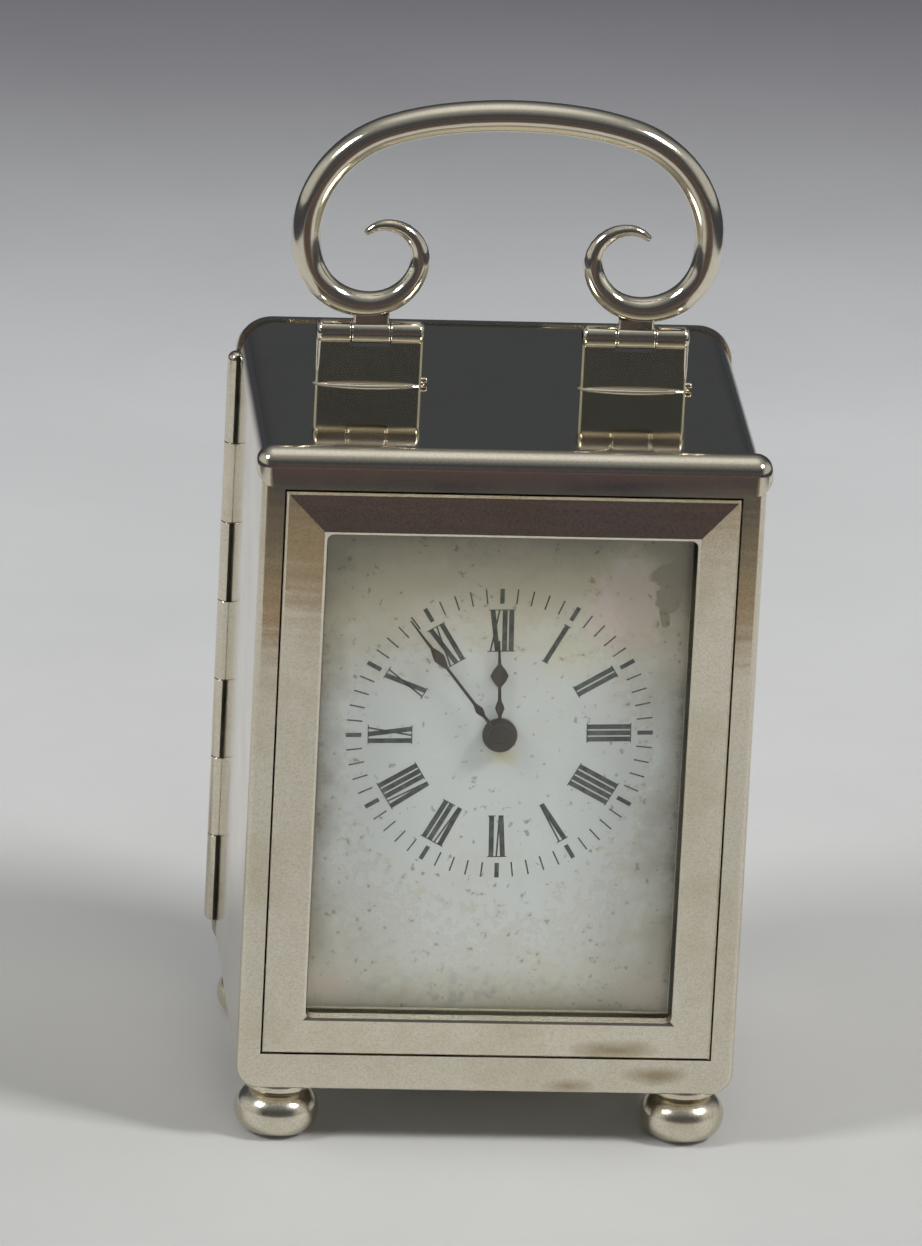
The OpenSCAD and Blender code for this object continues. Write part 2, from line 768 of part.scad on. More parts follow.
module centre_wheel() {
    color("gold") place() difference() {
        slab(centre_wheel_y, centre_wheel_y + 1) translate(centre_at)
            spoked_gear(centre_teeth, centre_mod, atan2(third_up, third_side), 1.2, 2, 5);
        rod_y(centre_at, centre_r, 0, far);
    }
}

module cannon_pinion() {
    color("lightsteelblue") place() difference() {
        union() {
            rod_y(centre_at, 0.9, 2.3, cannon_y);
            slab(cannon_y, front_plate_y - 0.15) translate(centre_at)
                gear(cannon_leaves, minute_mod, gap_turn(minute_angle, cannon_leaves), 0.03);
        }
        rod_y(centre_at, centre_front_r, 0, front_plate_y + 1);
    }
}

module minute_wheel() {
    color("gold") place() difference() {
        union() {
            slab(cannon_y + 0.3, cannon_y + 0.9) translate(minute_at)
                gear(minute_teeth, minute_mod, minute_angle + 180);
            slab(front_plate_y - 2.7, cannon_y + 0.3) translate(minute_at)
                gear(minute_leaves, hour_mod, gap_turn(minute_angle + 180, minute_leaves), 0.03);
        }
        rod_y(minute_at, 0.5 + slip, 0, far);
    }
}

module hour_wheel() {
    color("gold") place() difference() {
        union() {
            slab(front_plate_y - 2.5, front_plate_y - 1.8) translate(centre_at)
                gear(hour_teeth, hour_mod, minute_angle);
            rod_y(centre_at, 1.4, 3, front_plate_y - 2.4);
        }
        rod_y(centre_at, 0.9 + slip, 0, far);
    }
}

// Hand pointing up from the centre: slim stem, a swelling, a leaf or pear, and a fine tip
module hand_blade(stem, swell_at, leaf, length) {
    polygon([[-stem, 0], [-stem * 0.8, swell_at - 0.7], [-stem * 2, swell_at], [-stem * 0.8, swell_at + 0.7],
        [-stem * 0.7, leaf[0]], [-leaf[3], leaf[1]], [-stem * 0.8, leaf[2]], [-0.06, length],
        [0.06, length], [stem * 0.8, leaf[2]], [leaf[3], leaf[1]], [stem * 0.7, leaf[0]],
        [stem * 0.8, swell_at + 0.7], [stem * 2, swell_at], [stem * 0.8, swell_at - 0.7], [stem, 0]]);
}

module minute_hand() {
    color("darkslategray") place() difference() {
        union() {
            rod_y(centre_at, 1.55, 2.35, 2.65);
            slab(2.4, 2.6) translate(centre_at) rotate(-minute_rest)
                hand_blade(0.22, 3.6, [9.2, 10.5, 11.8, 0.6], minute_hand_l);
        }
        rod_y(centre_at, 0.9, 0, far);
    }
}

module hour_hand() {
    pear = [centre_at[0] + 6.3 * sin(hour_rest), centre_at[1] + 6.3 * cos(hour_rest)];
    color("darkslategray") place() difference() {
        union() {
            rod_y(centre_at, 1.75, 2.95, 3.25);
            slab(3, 3.2) translate(centre_at) rotate(-hour_rest)
                hand_blade(0.24, 2.9, [5.3, 6.3, 7.4, 0.6], hour_hand_l);
            rod_y(pear, 0.9, 2.98, 3.22);
        }
        rod_y(centre_at, 1.4, 0, far);
    }
}

module hand_washer() {
    color("darkslategray") place() difference() {
        rod_y(centre_at, 1.2, 2.1, 2.3);
        rod_y(centre_at, centre_front_r, 0, far);
    }
}

// Arbor between the plates, with a pivot at each end
module arbor(at) {
    rod_y(at, pivot_r, front_plate_y + 0.3, train_y + 0.2);
    rod_y(at, arbor_r, train_y + 0.2, back_plate_y - 0.2);
    rod_y(at, pivot_r, back_plate_y - 0.2, movement_y1 - 0.3);
}

module third_wheel() {
    to_centre = atan2(-third_up, -third_side);
    to_contrate = atan2(contrate_up - third_up, -third_side);
    color("gold") place() {
        arbor(third_at);
        slab(centre_wheel_y - 0.7, centre_wheel_y + 2) translate(third_at)
            gear(third_leaves, centre_mod, gap_turn(to_centre, third_leaves), 0.03);
        slab(third_wheel_y, third_wheel_y + 1) translate(third_at)
            spoked_gear(third_teeth, third_mod, to_contrate, 1, 1.6, 5);
    }
}

// Wheel whose teeth stand along its axis, to turn the upright escape arbor
module contrate_wheel() {
    to_third = atan2(third_up - contrate_up, third_side);
    rim_r = pitch_r(contrate_teeth, contrate_mod);
    crown_half = 0.32;
    gap_w = 0.31;
    gap_depth = 0.42;
    color("gold") place() {
        arbor(contrate_at);
        slab(third_wheel_y - 0.9, third_wheel_y + 1.9) translate(contrate_at)
            gear(contrate_leaves, third_mod, gap_turn(to_third, contrate_leaves), 0.03);
        slab(contrate_y, contrate_y + 0.6) translate(contrate_at) {
            difference() {
                circle(rim_r + crown_half);
                circle(rim_r - 1);
            }
            circle(1.5);
            for (i = [0:3]) rotate(i * 90 + 45) translate([0, -0.35]) square([rim_r - 0.9, 0.7]);
        }
        difference() {
            slab(contrate_y + 0.6, crown_y) translate(contrate_at) difference() {
                circle(rim_r + crown_half);
                circle(rim_r - crown_half);
            }
            translate([contrate_at[0], 0, contrate_at[1]]) for (i = [0:contrate_teeth - 1])
                rotate([0, i * 360 / contrate_teeth, 0])
                    translate([-gap_w / 2, crown_y - gap_depth, rim_r - 0.6])
                        cube([gap_w, gap_depth + 1, 1.2]);
        }
    }
}

module escape_tooth_ring() {
    root_r = escape_r * 0.72;
    step = 360 / escape_teeth;
    points = [for (i = [0:escape_teeth - 1]) each [
        [root_r * cos(i * step), root_r * sin(i * step)],
        [escape_r * cos(i * step + 5), escape_r * sin(i * step + 5)],
        [escape_r * 0.97 * cos(i * step + 10), escape_r * 0.97 * sin(i * step + 10)],
        [root_r * cos(i * step + 8), root_r * sin(i * step + 8)]]];
    polygon(points);
}

module escape_wheel() {
    color("gold") place() translate([0, escape_y, 0]) {
        rod_z(0, 0, 0.2, platform_z - 3.9, platform_z - 3);
        rod_z(0, 0, 0.35, platform_z - 3, platform_top + 2.1);
        rod_z(0, 0, 0.2, platform_top + 2.1, platform_top + 2.9);
        translate([0, 0, platform_z - 2.9]) linear_extrude(2)
            gear(escape_leaves, contrate_mod, -90, 0.04);
        translate([0, 0, escape_z]) linear_extrude(0.4) escape_tooth_ring();
    }
}

// Lever with its two stones just outside the escape wheel and its fork towards the balance
module pallet_lever() {
    stone_r = escape_r + 0.45;
    color("lightsteelblue") place() translate([0, escape_y, 0]) {
        translate([0, lever_y - escape_y, 0]) rod_z(0, 0, 0.15, platform_z + 0.2, platform_top + 0.3);
        translate([0, lever_y - escape_y, 0]) rod_z(0, 0, 0.3, platform_top + 0.3, platform_top + 2);
        translate([0, lever_y - escape_y, 0]) rod_z(0, 0, 0.15, platform_top + 2, platform_top + 2.9);
        translate([0, 0, escape_z]) linear_extrude(lever_t) difference() {
            union() {
                translate([-1.9, lever_y - escape_y - 0.25]) square([3.8, 0.5]);
                translate([-0.2, lever_y - escape_y]) square([0.4, 2.6]);
                translate([-0.45, lever_y - escape_y + 2.1]) square([0.9, 0.75]);
                for (s = [-1, 1]) rotate(-s * 30) translate([-0.2, stone_r - 0.2]) square([0.4, 0.7]);
            }
            translate([-0.18, lever_y - escape_y + 2.4]) square([0.36, 1]);
        }
    }
}

module balance_staff() {
    color("lightsteelblue") place() {
        rod_z(0, balance_y, staff_pivot_r, platform_z + 0.2, platform_top + 0.3);
        rod_z(0, balance_y, 0.4, platform_top + 0.3, cock_z - 0.1);
        rod_z(0, balance_y, staff_pivot_r, cock_z - 0.1, cock_z + cock_t + 0.4);
        rod_z(0, balance_y, 1.15, roller_z, roller_z + 0.4);
        rod_z(0, balance_y - 0.9, 0.14, roller_z - 0.7, roller_z);
    }
}

module balance_wheel() {
    color("gold") place() translate([0, balance_y, balance_z]) difference() {
        linear_extrude(1) {
            difference() {
                circle(balance_r);
                circle(balance_r - 0.8);
            }
            translate([-balance_r + 0.4, -0.4]) square([2 * balance_r - 0.8, 0.8]);
            circle(1.1);
        }
        translate([0, 0, -1]) cylinder(h = 3, r = 0.4);
    }
}

// Flat spiral strip from inner_r to outer_r
module spiral(inner_r, outer_r, turns, t) {
    steps = turns * 24;
    function spiral_r(i) = inner_r + (outer_r - inner_r) * i / steps;
    polygon([
        for (i = [0:steps]) (spiral_r(i) + t / 2) * [cos(i * 15), sin(i * 15)],
        for (i = [steps:-1:0]) (spiral_r(i) - t / 2) * [cos(i * 15), sin(i * 15)]]);
}

module hairspring() {
    collet_r = 0.75;
    color("steelblue") place() translate([0, balance_y, hairspring_z]) {
        linear_extrude(0.3) spiral(collet_r, 2.9, 6, 0.08);
        difference() {
            cylinder(h = 0.4, r = collet_r);
            translate([0, 0, -1]) cylinder(h = 3, r = 0.4);
        }
    }
}

// Index that turns on the cock's cap
module regulator() {
    reg_z = cock_z + cock_t;
    color("lightsteelblue") place() translate([0, balance_y, reg_z]) difference() {
        linear_extrude(0.35) {
            circle(1.6);
            polygon([[-0.5, 0], [-0.15, -4.6], [0.15, -4.6], [0.5, 0]]);
            translate([-0.25, 0]) square([0.5, 3.1]);
        }
        translate([0, 0, -1]) cylinder(h = 3, r = 1 + slip);
    }
}

// ---- mainspring barrel and winding ----

barrel_root_r = pitch_r(barrel_teeth, barrel_mod) - 1.15 * barrel_mod;
barrel_wall = 0.7;
barrel_end_t = 1;
hub_r = 2.6;

module barrel() {
    to_centre = atan2(barrel_down, -barrel_side);
    color("gold") place() difference() {
        union() {
            slab(barrel_y, barrel_y + barrel_l) translate(barrel_at) circle(barrel_root_r - 0.1);
            slab(barrel_teeth_y, barrel_y + barrel_l) translate(barrel_at)
                gear(barrel_teeth, barrel_mod, to_centre);
        }
        rod_y(barrel_at, barrel_root_r - barrel_wall, barrel_y - 1, barrel_y + barrel_l - barrel_end_t);
        rod_y(barrel_at, 1.6 + slip, 0, far);
    }
}

module barrel_cap() {
    color("goldenrod") place() difference() {
        rod_y(barrel_at, barrel_root_r - barrel_wall, barrel_y, barrel_y + barrel_end_t);
        rod_y(barrel_at, 1.6 + slip, 0, far);
    }
}

module mainspring() {
    color("steelblue") place()
        slab(barrel_y + barrel_end_t + 0.2, barrel_y + barrel_l - barrel_end_t - 0.2)
            translate(barrel_at) spiral(hub_r + 0.25, barrel_root_r - barrel_wall - 0.25, 9, 0.35);
}

module barrel_arbor() {
    sq = 2.2;
    color("lightsteelblue") place() {
        rod_y(barrel_at, 0.8, front_plate_y + 0.3, train_y + 0.3);
        rod_y(barrel_at, 1.6, train_y + 0.3, back_plate_y - 0.1);
        rod_y(barrel_at, hub_r, barrel_y + barrel_end_t + 0.1, barrel_y + barrel_l - barrel_end_t - 0.1);
        rod_y(barrel_at, 1.4, back_plate_y - 0.1, movement_y1 + 1.6);
        slab(movement_y1 + 1.6, square_y) translate(barrel_at - [sq / 2, sq / 2]) square(sq);
    }
}

ratchet_teeth = 24;
ratchet_r = 4.6;

module ratchet_wheel() {
    root_r = ratchet_r - 0.8;
    step = 360 / ratchet_teeth;
    color("lightsteelblue") place() difference() {
        slab(movement_y1 + 0.1, movement_y1 + 1.3) translate(barrel_at)
            polygon([for (i = [0:ratchet_teeth - 1]) each [
                [root_r * cos(i * step), root_r * sin(i * step)],
                [ratchet_r * cos(i * step), ratchet_r * sin(i * step)]]]);
        rod_y(barrel_at, 1.4, 0, far);
    }
}

// Click, its beak just outside the ratchet's teeth
module click() {
    beak = ratchet_r + 0.08;
    dir = [cos(115), sin(115)];
    tip = barrel_at + beak * dir;
    color("lightsteelblue") place() difference() {
        slab(movement_y1 + 0.1, movement_y1 + 1.2) {
            translate(click_at) circle(1.2);
            polygon([click_at + [-0.4, 1.1], click_at + [0.2, -1.15], tip, tip + [0.3, 1]]);
        }
        rod_y(click_at, 0.6 + slip, 0, far);
    }
}

module click_screw() {
    color("steelblue") place() difference() {
        union() {
            rod_y(click_at, 0.5, back_plate_y + 0.2, movement_y1);
            rod_y(click_at, 0.6, movement_y1, movement_y1 + 1.25);
            rod_y(click_at, 1.1, movement_y1 + 1.25, movement_y1 + 1.9);
            rod_y(click_spring_at, 0.5, back_plate_y + 0.2, movement_y1 + 0.8);
            rod_y(click_spring_at, 1, movement_y1 + 0.8, movement_y1 + 1.4);
        }
        slab(movement_y1 + 1.6, far) translate(click_at + [-2, -0.12]) square([4, 0.24]);
        slab(movement_y1 + 1.15, far) translate(click_spring_at + [-2, -0.12]) square([4, 0.24]);
    }
}

// Blade that presses on the back of the click
module click_spring() {
    color("steelblue") place() difference() {
        slab(movement_y1, movement_y1 + 0.8) {
            translate(click_spring_at) circle(1.3);
            translate(click_spring_at + [0, 0.9]) square([2.15, 0.35]);
            translate(click_spring_at + [1.8, -3.1]) square([0.35, 4.3]);
        }
        rod_y(click_spring_at, 0.5, 0, far);
    }
}

// ---- handle ----

// Centre line of half the handle, as [x, z] from the top of the arch, left side
function arc_steps(sweep, r) = max(2, ceil(sweep * r * PI / 180 / 1.5 + sweep / 30));
function arc_end(p, heading, r, sweep) = p + r * [sin(heading + sweep) - sin(heading),
    cos(heading) - cos(heading + sweep)];
function arc_points(p, heading, r, sweep) = let (n = arc_steps(sweep, r))
    [for (k = [1:n]) concat(arc_end(p, heading, r, sweep * k / n), heading + sweep * k / n)];
function walk(i, p, heading) = i >= len(BAIL_ARCS) ? [] : concat(
    arc_points(p, heading, BAIL_ARCS[i][0], BAIL_ARCS[i][1]),
    walk(i + 1, arc_end(p, heading, BAIL_ARCS[i][0], BAIL_ARCS[i][1]), heading + BAIL_ARCS[i][1]));
half_line = walk(0, [0, bail_up], 180);

// Wire radius along the half handle: full over the arch, then thinner to the scroll's tip
bail_tip_r = 0.36;
function wire_r(turned) = turned < 140 ? bail_r - (bail_r - 1.36) * turned / 140
    : 1.36 - (1.36 - bail_tip_r) * pow((turned - 140) / 265, 1.25);

module handle_bail() {
    left = [for (p = half_line) [-p[0], p[1], -p[2], wire_r(p[2] - 180)]];
    right = [for (i = [len(half_line) - 1:-1:0])
        [half_line[i][0], half_line[i][1], half_line[i][2], wire_r(half_line[i][2] - 180)]];
    line = concat(right, [[0, bail_up, 180, bail_r]], left);
    n = len(line);
    rings = [for (p = line) for (k = [0:bail_sides - 1]) let (a = k * 360 / bail_sides)
        [p[0] + p[3] * cos(a) * sin(p[2]), p[3] * sin(a), p[1] - p[3] * cos(a) * cos(p[2])]];
    sides = [for (i = [0:n - 2], k = [0:bail_sides - 1]) let (m = (k + 1) % bail_sides)
        [i * bail_sides + k, i * bail_sides + m, (i + 1) * bail_sides + m, (i + 1) * bail_sides + k]];
    ends = [[for (k = [bail_sides - 1:-1:0]) k],
        [for (k = [0:bail_sides - 1]) (n - 1) * bail_sides + k]];
    color("silver") place() translate([0, handle_axis_y, handle_axis_z])
        polyhedron(points = rings, faces = concat(sides, ends));
}

// The handle's two knuckles, each joined to its scroll by a short neck as wide as itself
module handle_knuckles() {
    neck_w = handle_knuckle_l - 0.2;
    neck_t = 1.3;
    color("silver") place() for (x = [-bracket_x, bracket_x]) translate([x, handle_axis_y, handle_axis_z])
        difference() {
            union() {
                rod_x(-handle_knuckle_l / 2, handle_knuckle_l / 2, 0, 0, handle_barrel_r);
                translate([-neck_w / 2, -neck_t / 2, 0.6]) cube([neck_w, neck_t, 1.3]);
            }
            rod_x(-handle_knuckle_l, handle_knuckle_l, 0, 0, handle_pin_r + slip);
        }
}

case_shell();
front_frame();
top_rim();
bezel();
glass_pane();
glass_retainer();
dial_plate();
dial_posts();
bracket_left();
bracket_right();
bracket_screws();
handle_pins();
case_hinge();
door_hinge_pin();
foot_front_left();
foot_front_right();
foot_rear_left();
foot_rear_right();
foot_screws();
case_screws();
front_plate();
back_plate();
pillars();
pillar_screws();
platform_plate();
platform_screws();
escape_potence();
escape_bridge();
balance_cock();
minute_wheel_stud();
click_screw();
click_spring();
handle_bail();
handle_knuckles();
back_door();
door_catch();
barrel();
barrel_cap();
mainspring();
barrel_arbor();
ratchet_wheel();
click();
centre_arbor();
centre_wheel();
cannon_pinion();
minute_hand();
hand_washer();
minute_wheel();
hour_wheel();
hour_hand();
third_wheel();
contrate_wheel();
escape_wheel();
pallet_lever();
balance_wheel();
balance_staff();
hairspring();
regulator();
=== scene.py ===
# Silver carriage clock: the looks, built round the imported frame. Pieces are drawn in millimetres.
import json
import math

import bmesh
import bpy
from mathutils import Matrix, Vector


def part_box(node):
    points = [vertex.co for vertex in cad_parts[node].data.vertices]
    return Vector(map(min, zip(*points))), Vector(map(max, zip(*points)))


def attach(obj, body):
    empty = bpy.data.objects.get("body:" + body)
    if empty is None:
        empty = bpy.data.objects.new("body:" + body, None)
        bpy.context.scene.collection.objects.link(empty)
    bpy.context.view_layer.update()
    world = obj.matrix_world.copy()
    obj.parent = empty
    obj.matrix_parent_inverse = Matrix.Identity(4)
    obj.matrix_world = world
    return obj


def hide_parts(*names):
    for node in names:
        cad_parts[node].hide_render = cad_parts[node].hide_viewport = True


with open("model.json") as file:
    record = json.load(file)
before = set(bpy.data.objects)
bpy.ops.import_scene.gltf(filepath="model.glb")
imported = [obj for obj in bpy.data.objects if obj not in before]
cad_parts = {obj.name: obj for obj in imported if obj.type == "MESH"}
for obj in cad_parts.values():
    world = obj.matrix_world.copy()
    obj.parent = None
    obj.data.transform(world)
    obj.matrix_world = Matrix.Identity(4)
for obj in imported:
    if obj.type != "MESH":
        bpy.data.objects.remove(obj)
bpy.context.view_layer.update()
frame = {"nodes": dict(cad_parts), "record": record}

metre = 1000.0  # millimetres in a metre


def linear(hexColour):
    # sRGB hex to the linear colour that shaders use
    parts = [int(hexColour[i : i + 2], 16) / 255 for i in (1, 3, 5)]
    return tuple(p / 12.92 if p <= 0.04045 else ((p + 0.055) / 1.055) ** 2.4 for p in parts) + (1.0,)


def addNode(tree, kind, settings=None, links=None):
    # kind leaves out "ShaderNode". stops fills a colour ramp, range sets what a value is mapped from and to,
    # and a number or an input's name sets that input. A node in links gives its first output
    node = tree.nodes.new("ShaderNode" + kind)
    for key, value in (settings or {}).items():
        if key == "stops":
            ramp = node.color_ramp.elements
            while len(ramp) < len(value):
                ramp.new(0.5)
            for element, (place, colour) in zip(ramp, value):
                element.position = place
                element.color = linear(colour) if isinstance(colour, str) else (colour,) * 3 + (1.0,)
        elif key == "range":
            for side, number in zip(("From Min", "From Max", "To Min", "To Max"), value):
                node.inputs[side].default_value = number
        elif isinstance(key, int) or key in node.inputs:
            node.inputs[key].default_value = value
        else:
            setattr(node, key, value)
    for key, source in (links or {}).items():
        socket = source.outputs[0] if hasattr(source, "outputs") else source
        tree.links.new(socket, node.inputs[key])
    return node


def newMaterial(name):
    material = bpy.data.materials.new(name)
    material.use_nodes = True
    tree = material.node_tree
    tree.nodes.clear()
    output = addNode(tree, "OutputMaterial")
    place = addNode(tree, "TexCoord").outputs["Object"]
    return material, tree, output, place


def ovalRings(tree, place, centre, reach):
    # 0 at the centre and 1 at the reach given, both in millimetres
    moved = addNode(
        tree,
        "Mapping",
        {"Location": tuple(-c / r for c, r in zip(centre, reach)), "Scale": tuple(metre / r for r in reach)},
        {"Vector": place},
    )
    return addNode(tree, "VectorMath", {"operation": "LENGTH"}, {0: moved})


def addObject(name, data):
    made = bpy.data.objects.new(name, data)
    bpy.context.scene.collection.objects.link(made)
    return made


def meshObject(bm, name):
    mesh = bpy.data.meshes.new(name)
    bm.to_mesh(mesh)
    bm.free()
    return addObject(name, mesh)


def boxMm(node):
    low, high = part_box(node)
    return low * metre, high * metre


caseLow, caseHigh = boxMm("case_shell")
bezelLow, bezelHigh = boxMm("bezel")
rimLow, rimHigh = boxMm("top_rim")
glassLow, glassHigh = boxMm("glass_pane")
doorHigh = boxMm("back_door")[1]
catchLow, catchHigh = boxMm("door_catch")
pinLow, pinHigh = boxMm("door_hinge_pin")
washerLow, washerHigh = boxMm("hand_washer")
handlePinLow, handlePinHigh = boxMm("handle_pins")
midX = (caseLow.x + caseHigh.x) / 2
frontY = boxMm("front_frame")[0].y
topZ = caseHigh.z
dialCentre = Vector((midX, boxMm("dial_plate")[0].y, (washerLow.z + washerHigh.z) / 2))
handlePin, doorPin = (handlePinLow + handlePinHigh) / 2, (pinLow + pinHigh) / 2
handleAxis = Vector((midX, handlePin.y, handlePin.z))
doorAxis = Vector((doorPin.x, doorPin.y, 0))


silverLook = {
    "clean": "#e4ddcd",
    "warm": "#cfc4a8",
    "tarnish": "#6b5c46",
    "dull": "#b1a891",
    "stain": "#94815f",
    "patchMm": 9.0,
    "grainMm": 0.22,
    "rippleMm": (16.0, 16.0, 1.5),
    "rippleRise": 12.0,
    "pitMm": 0.5,
}


def sterlingSilver(name, polish, patchiness, pitting, bumpMm, stains=()):
    # Sterling silver, raised from sheet and hand polished: a warm mirror with fine pits, thin brown
    # tarnish in soft patches, and a faint haze of rubbing marks. stains gives the middle and the reach of
    # each brown mark in millimetres
    material, tree, output, place = newMaterial(name)
    patches = addNode(
        tree, "TexNoise", {"Scale": metre / silverLook["patchMm"], "Detail": 4.0, "Roughness": 0.6},
        {"Vector": place},
    )
    grain = addNode(
        tree, "TexNoise", {"Scale": metre / silverLook["grainMm"], "Detail": 3.0, "Roughness": 0.7},
        {"Vector": place},
    )
    pits = addNode(
        tree, "TexVoronoi", {"feature": "F1", "Scale": metre / silverLook["pitMm"], "Randomness": 1.0},
        {"Vector": place},
    )
    pitMask = addNode(
        tree, "ValToRGB", {"stops": [(0.05, 1.0), (0.16, 0.0)]}, {0: pits.outputs["Distance"]}
    )
    patchMask = addNode(
        tree, "ValToRGB", {"stops": [(0.46, 0.0), (0.78, 1.0)]}, {0: patches.outputs["Fac"]}
    )
    speckle = addNode(
        tree, "Math", {"operation": "MULTIPLY"},
        {0: pitMask.outputs["Color"], 1: patchMask.outputs["Color"]},
    )
    pitAmount = addNode(tree, "Math", {"operation": "MULTIPLY", 1: pitting}, {0: speckle})
    patchAmount = addNode(
        tree, "Math", {"operation": "MULTIPLY", 1: patchiness}, {0: patchMask.outputs["Color"]}
    )
    body = addNode(
        tree, "Mix", {"data_type": "RGBA", 6: linear(silverLook["clean"]), 7: linear(silverLook["warm"])},
        {0: patchAmount},
    )
    dullness = addNode(
        tree, "MapRange", {"range": (0.42, 0.72, 0.0, pitting * 1.1)}, {"Value": grain.outputs["Fac"]}
    )
    body = addNode(
        tree, "Mix", {"data_type": "RGBA", 7: linear(silverLook["dull"])},
        {0: dullness, 6: body.outputs[2]},
    )
    for middle, reach in stains:
        ring = ovalRings(tree, place, middle, reach)
        ragged = addNode(
            tree, "Math", {"operation": "ADD"}, {0: ring.outputs["Value"], 1: patches.outputs["Fac"]}
        )
        mask = addNode(tree, "ValToRGB", {"stops": [(0.55, 0.75), (1.0, 0.0)]}, {0: ragged})
        body = addNode(
            tree, "Mix", {"data_type": "RGBA", 7: linear(silverLook["stain"])},
            {0: mask, 6: body.outputs[2]},
        )
    colour = addNode(
        tree, "Mix", {"data_type": "RGBA", 7: linear(silverLook["tarnish"])},
        {0: pitAmount, 6: body.outputs[2]},
    )
    rough = addNode(
        tree, "MapRange", {"range": (0.3, 0.75, polish, polish * 1.7 + 0.03)},
        {"Value": patches.outputs["Fac"]},
    )
    height = addNode(tree, "Math", {"operation": "SUBTRACT"}, {0: grain.outputs["Fac"], 1: pitAmount})
    bump = addNode(tree, "Bump", {"Strength": 1.0, "Distance": bumpMm / metre}, {"Height": height})
    stretched = addNode(
        tree, "Mapping", {"Scale": tuple(metre / size for size in silverLook["rippleMm"])},
        {"Vector": place},
    )
    ripple = addNode(tree, "TexNoise", {"Scale": 1.0, "Detail": 1.0}, {"Vector": stretched})
    wavy = addNode(
        tree, "Bump", {"Strength": 1.0, "Distance": bumpMm * silverLook["rippleRise"] / metre},
        {"Height": ripple.outputs["Fac"], "Normal": bump},
    )
    shader = addNode(
        tree, "BsdfPrincipled", {"Metallic": 1.0},
        {"Base Color": colour.outputs[2], "Roughness": rough, "Normal": wavy},
    )
    tree.links.new(shader.outputs[0], output.inputs[0])
    return material


borderStains = (
    ((midX + 8.3, frontY, caseLow.z + 0.9), (6.5, 9.0, 2.0)),
    ((midX + 17.0, frontY, caseLow.z + 2.2), (8.0, 9.0, 2.2)),
    ((midX + 13.0, frontY, bezelLow.z + 1.9), (9.0, 9.0, 2.4)),
)
silverCase = sterlingSilver("sterlingSilverSheet", 0.07, 0.7, 0.5, 0.0008, borderStains)
silverFoot = sterlingSilver("sterlingSilverFoot", 0.15, 0.6, 0.6, 0.0012)
silverTop = sterlingSilver("sterlingSilverTop", 0.035, 0.25, 0.25, 0.0002)
silverRim = sterlingSilver("sterlingSilverBead", 0.07, 0.35, 0.3, 0.0004)
silverWire = sterlingSilver("sterlingSilverWire", 0.09, 0.35, 0.2, 0.0004)
silverBracket = sterlingSilver("sterlingSilverBracket", 0.05, 0.5, 0.4, 0.0006)
silverInside = sterlingSilver("sterlingSilverInside", 0.3, 0.9, 0.8, 0.002)

enamelLook = {
    "white": "#b5b6b6",
    "beige": "#a99f8a",
    "umber": "#463e38",
    "pink": "#bba9a7",
    "yellow": "#b0a984",
    "drip": "#2c231e",
    # fade: heights over the centre where the beige top starts and where it is full; part stain, part painted
    # shade
    "fade": (1.0, 20.0),
    "speckMm": 0.8,
    "mottleMm": 7.0,
    "depthMm": 20.0,
    "rough": 0.22,
    "ior": 1.52,
    # each mark: colour, centre from the dial's middle, reach, and how hard its edge is
    "marks": [
        ("pink", (12.3, 13.8), (4.6, 6.0), [(0.6, 0.85), (1.0, 0.0)]),
        ("pink", (18.0, 9.5), (3.0, 5.0), [(0.4, 0.5), (1.0, 0.0)]),
        ("umber", (0.5, -31.5), (30.0, 6.5), [(0.4, 0.6), (1.1, 0.0)]),
        ("pink", (-17.0, -27.0), (4.5, 3.5), [(0.3, 0.6), (1.0, 0.0)]),
        ("pink", (16.5, -27.5), (5.0, 3.5), [(0.3, 0.6), (1.0, 0.0)]),
        ("yellow", (7.0, 8.5), (4.0, 3.2), [(0.2, 0.35), (1.0, 0.0)]),
        ("yellow", (0.6, -2.2), (2.0, 1.6), [(0.2, 0.7), (1.0, 0.0)]),
        ("drip", (-17.0, 17.8), (2.4, 1.4), [(0.6, 0.5), (1.0, 0.0)]),
        ("drip", (16.4, 16.9), (2.4, 1.7), [(0.8, 0.9), (0.95, 0.0)]),
        ("drip", (16.2, 14.6), (1.6, 1.9), [(0.8, 0.9), (0.95, 0.0)]),
        ("drip", (15.9, 12.6), (0.6, 1.3), [(0.8, 0.9), (0.95, 0.0)]),
        ("beige", (-0.5, -4.5), (24.0, 24.0), [(0.64, 0.0), (0.7, 0.42), (0.78, 0.15), (0.95, 0.5)]),
    ],
}


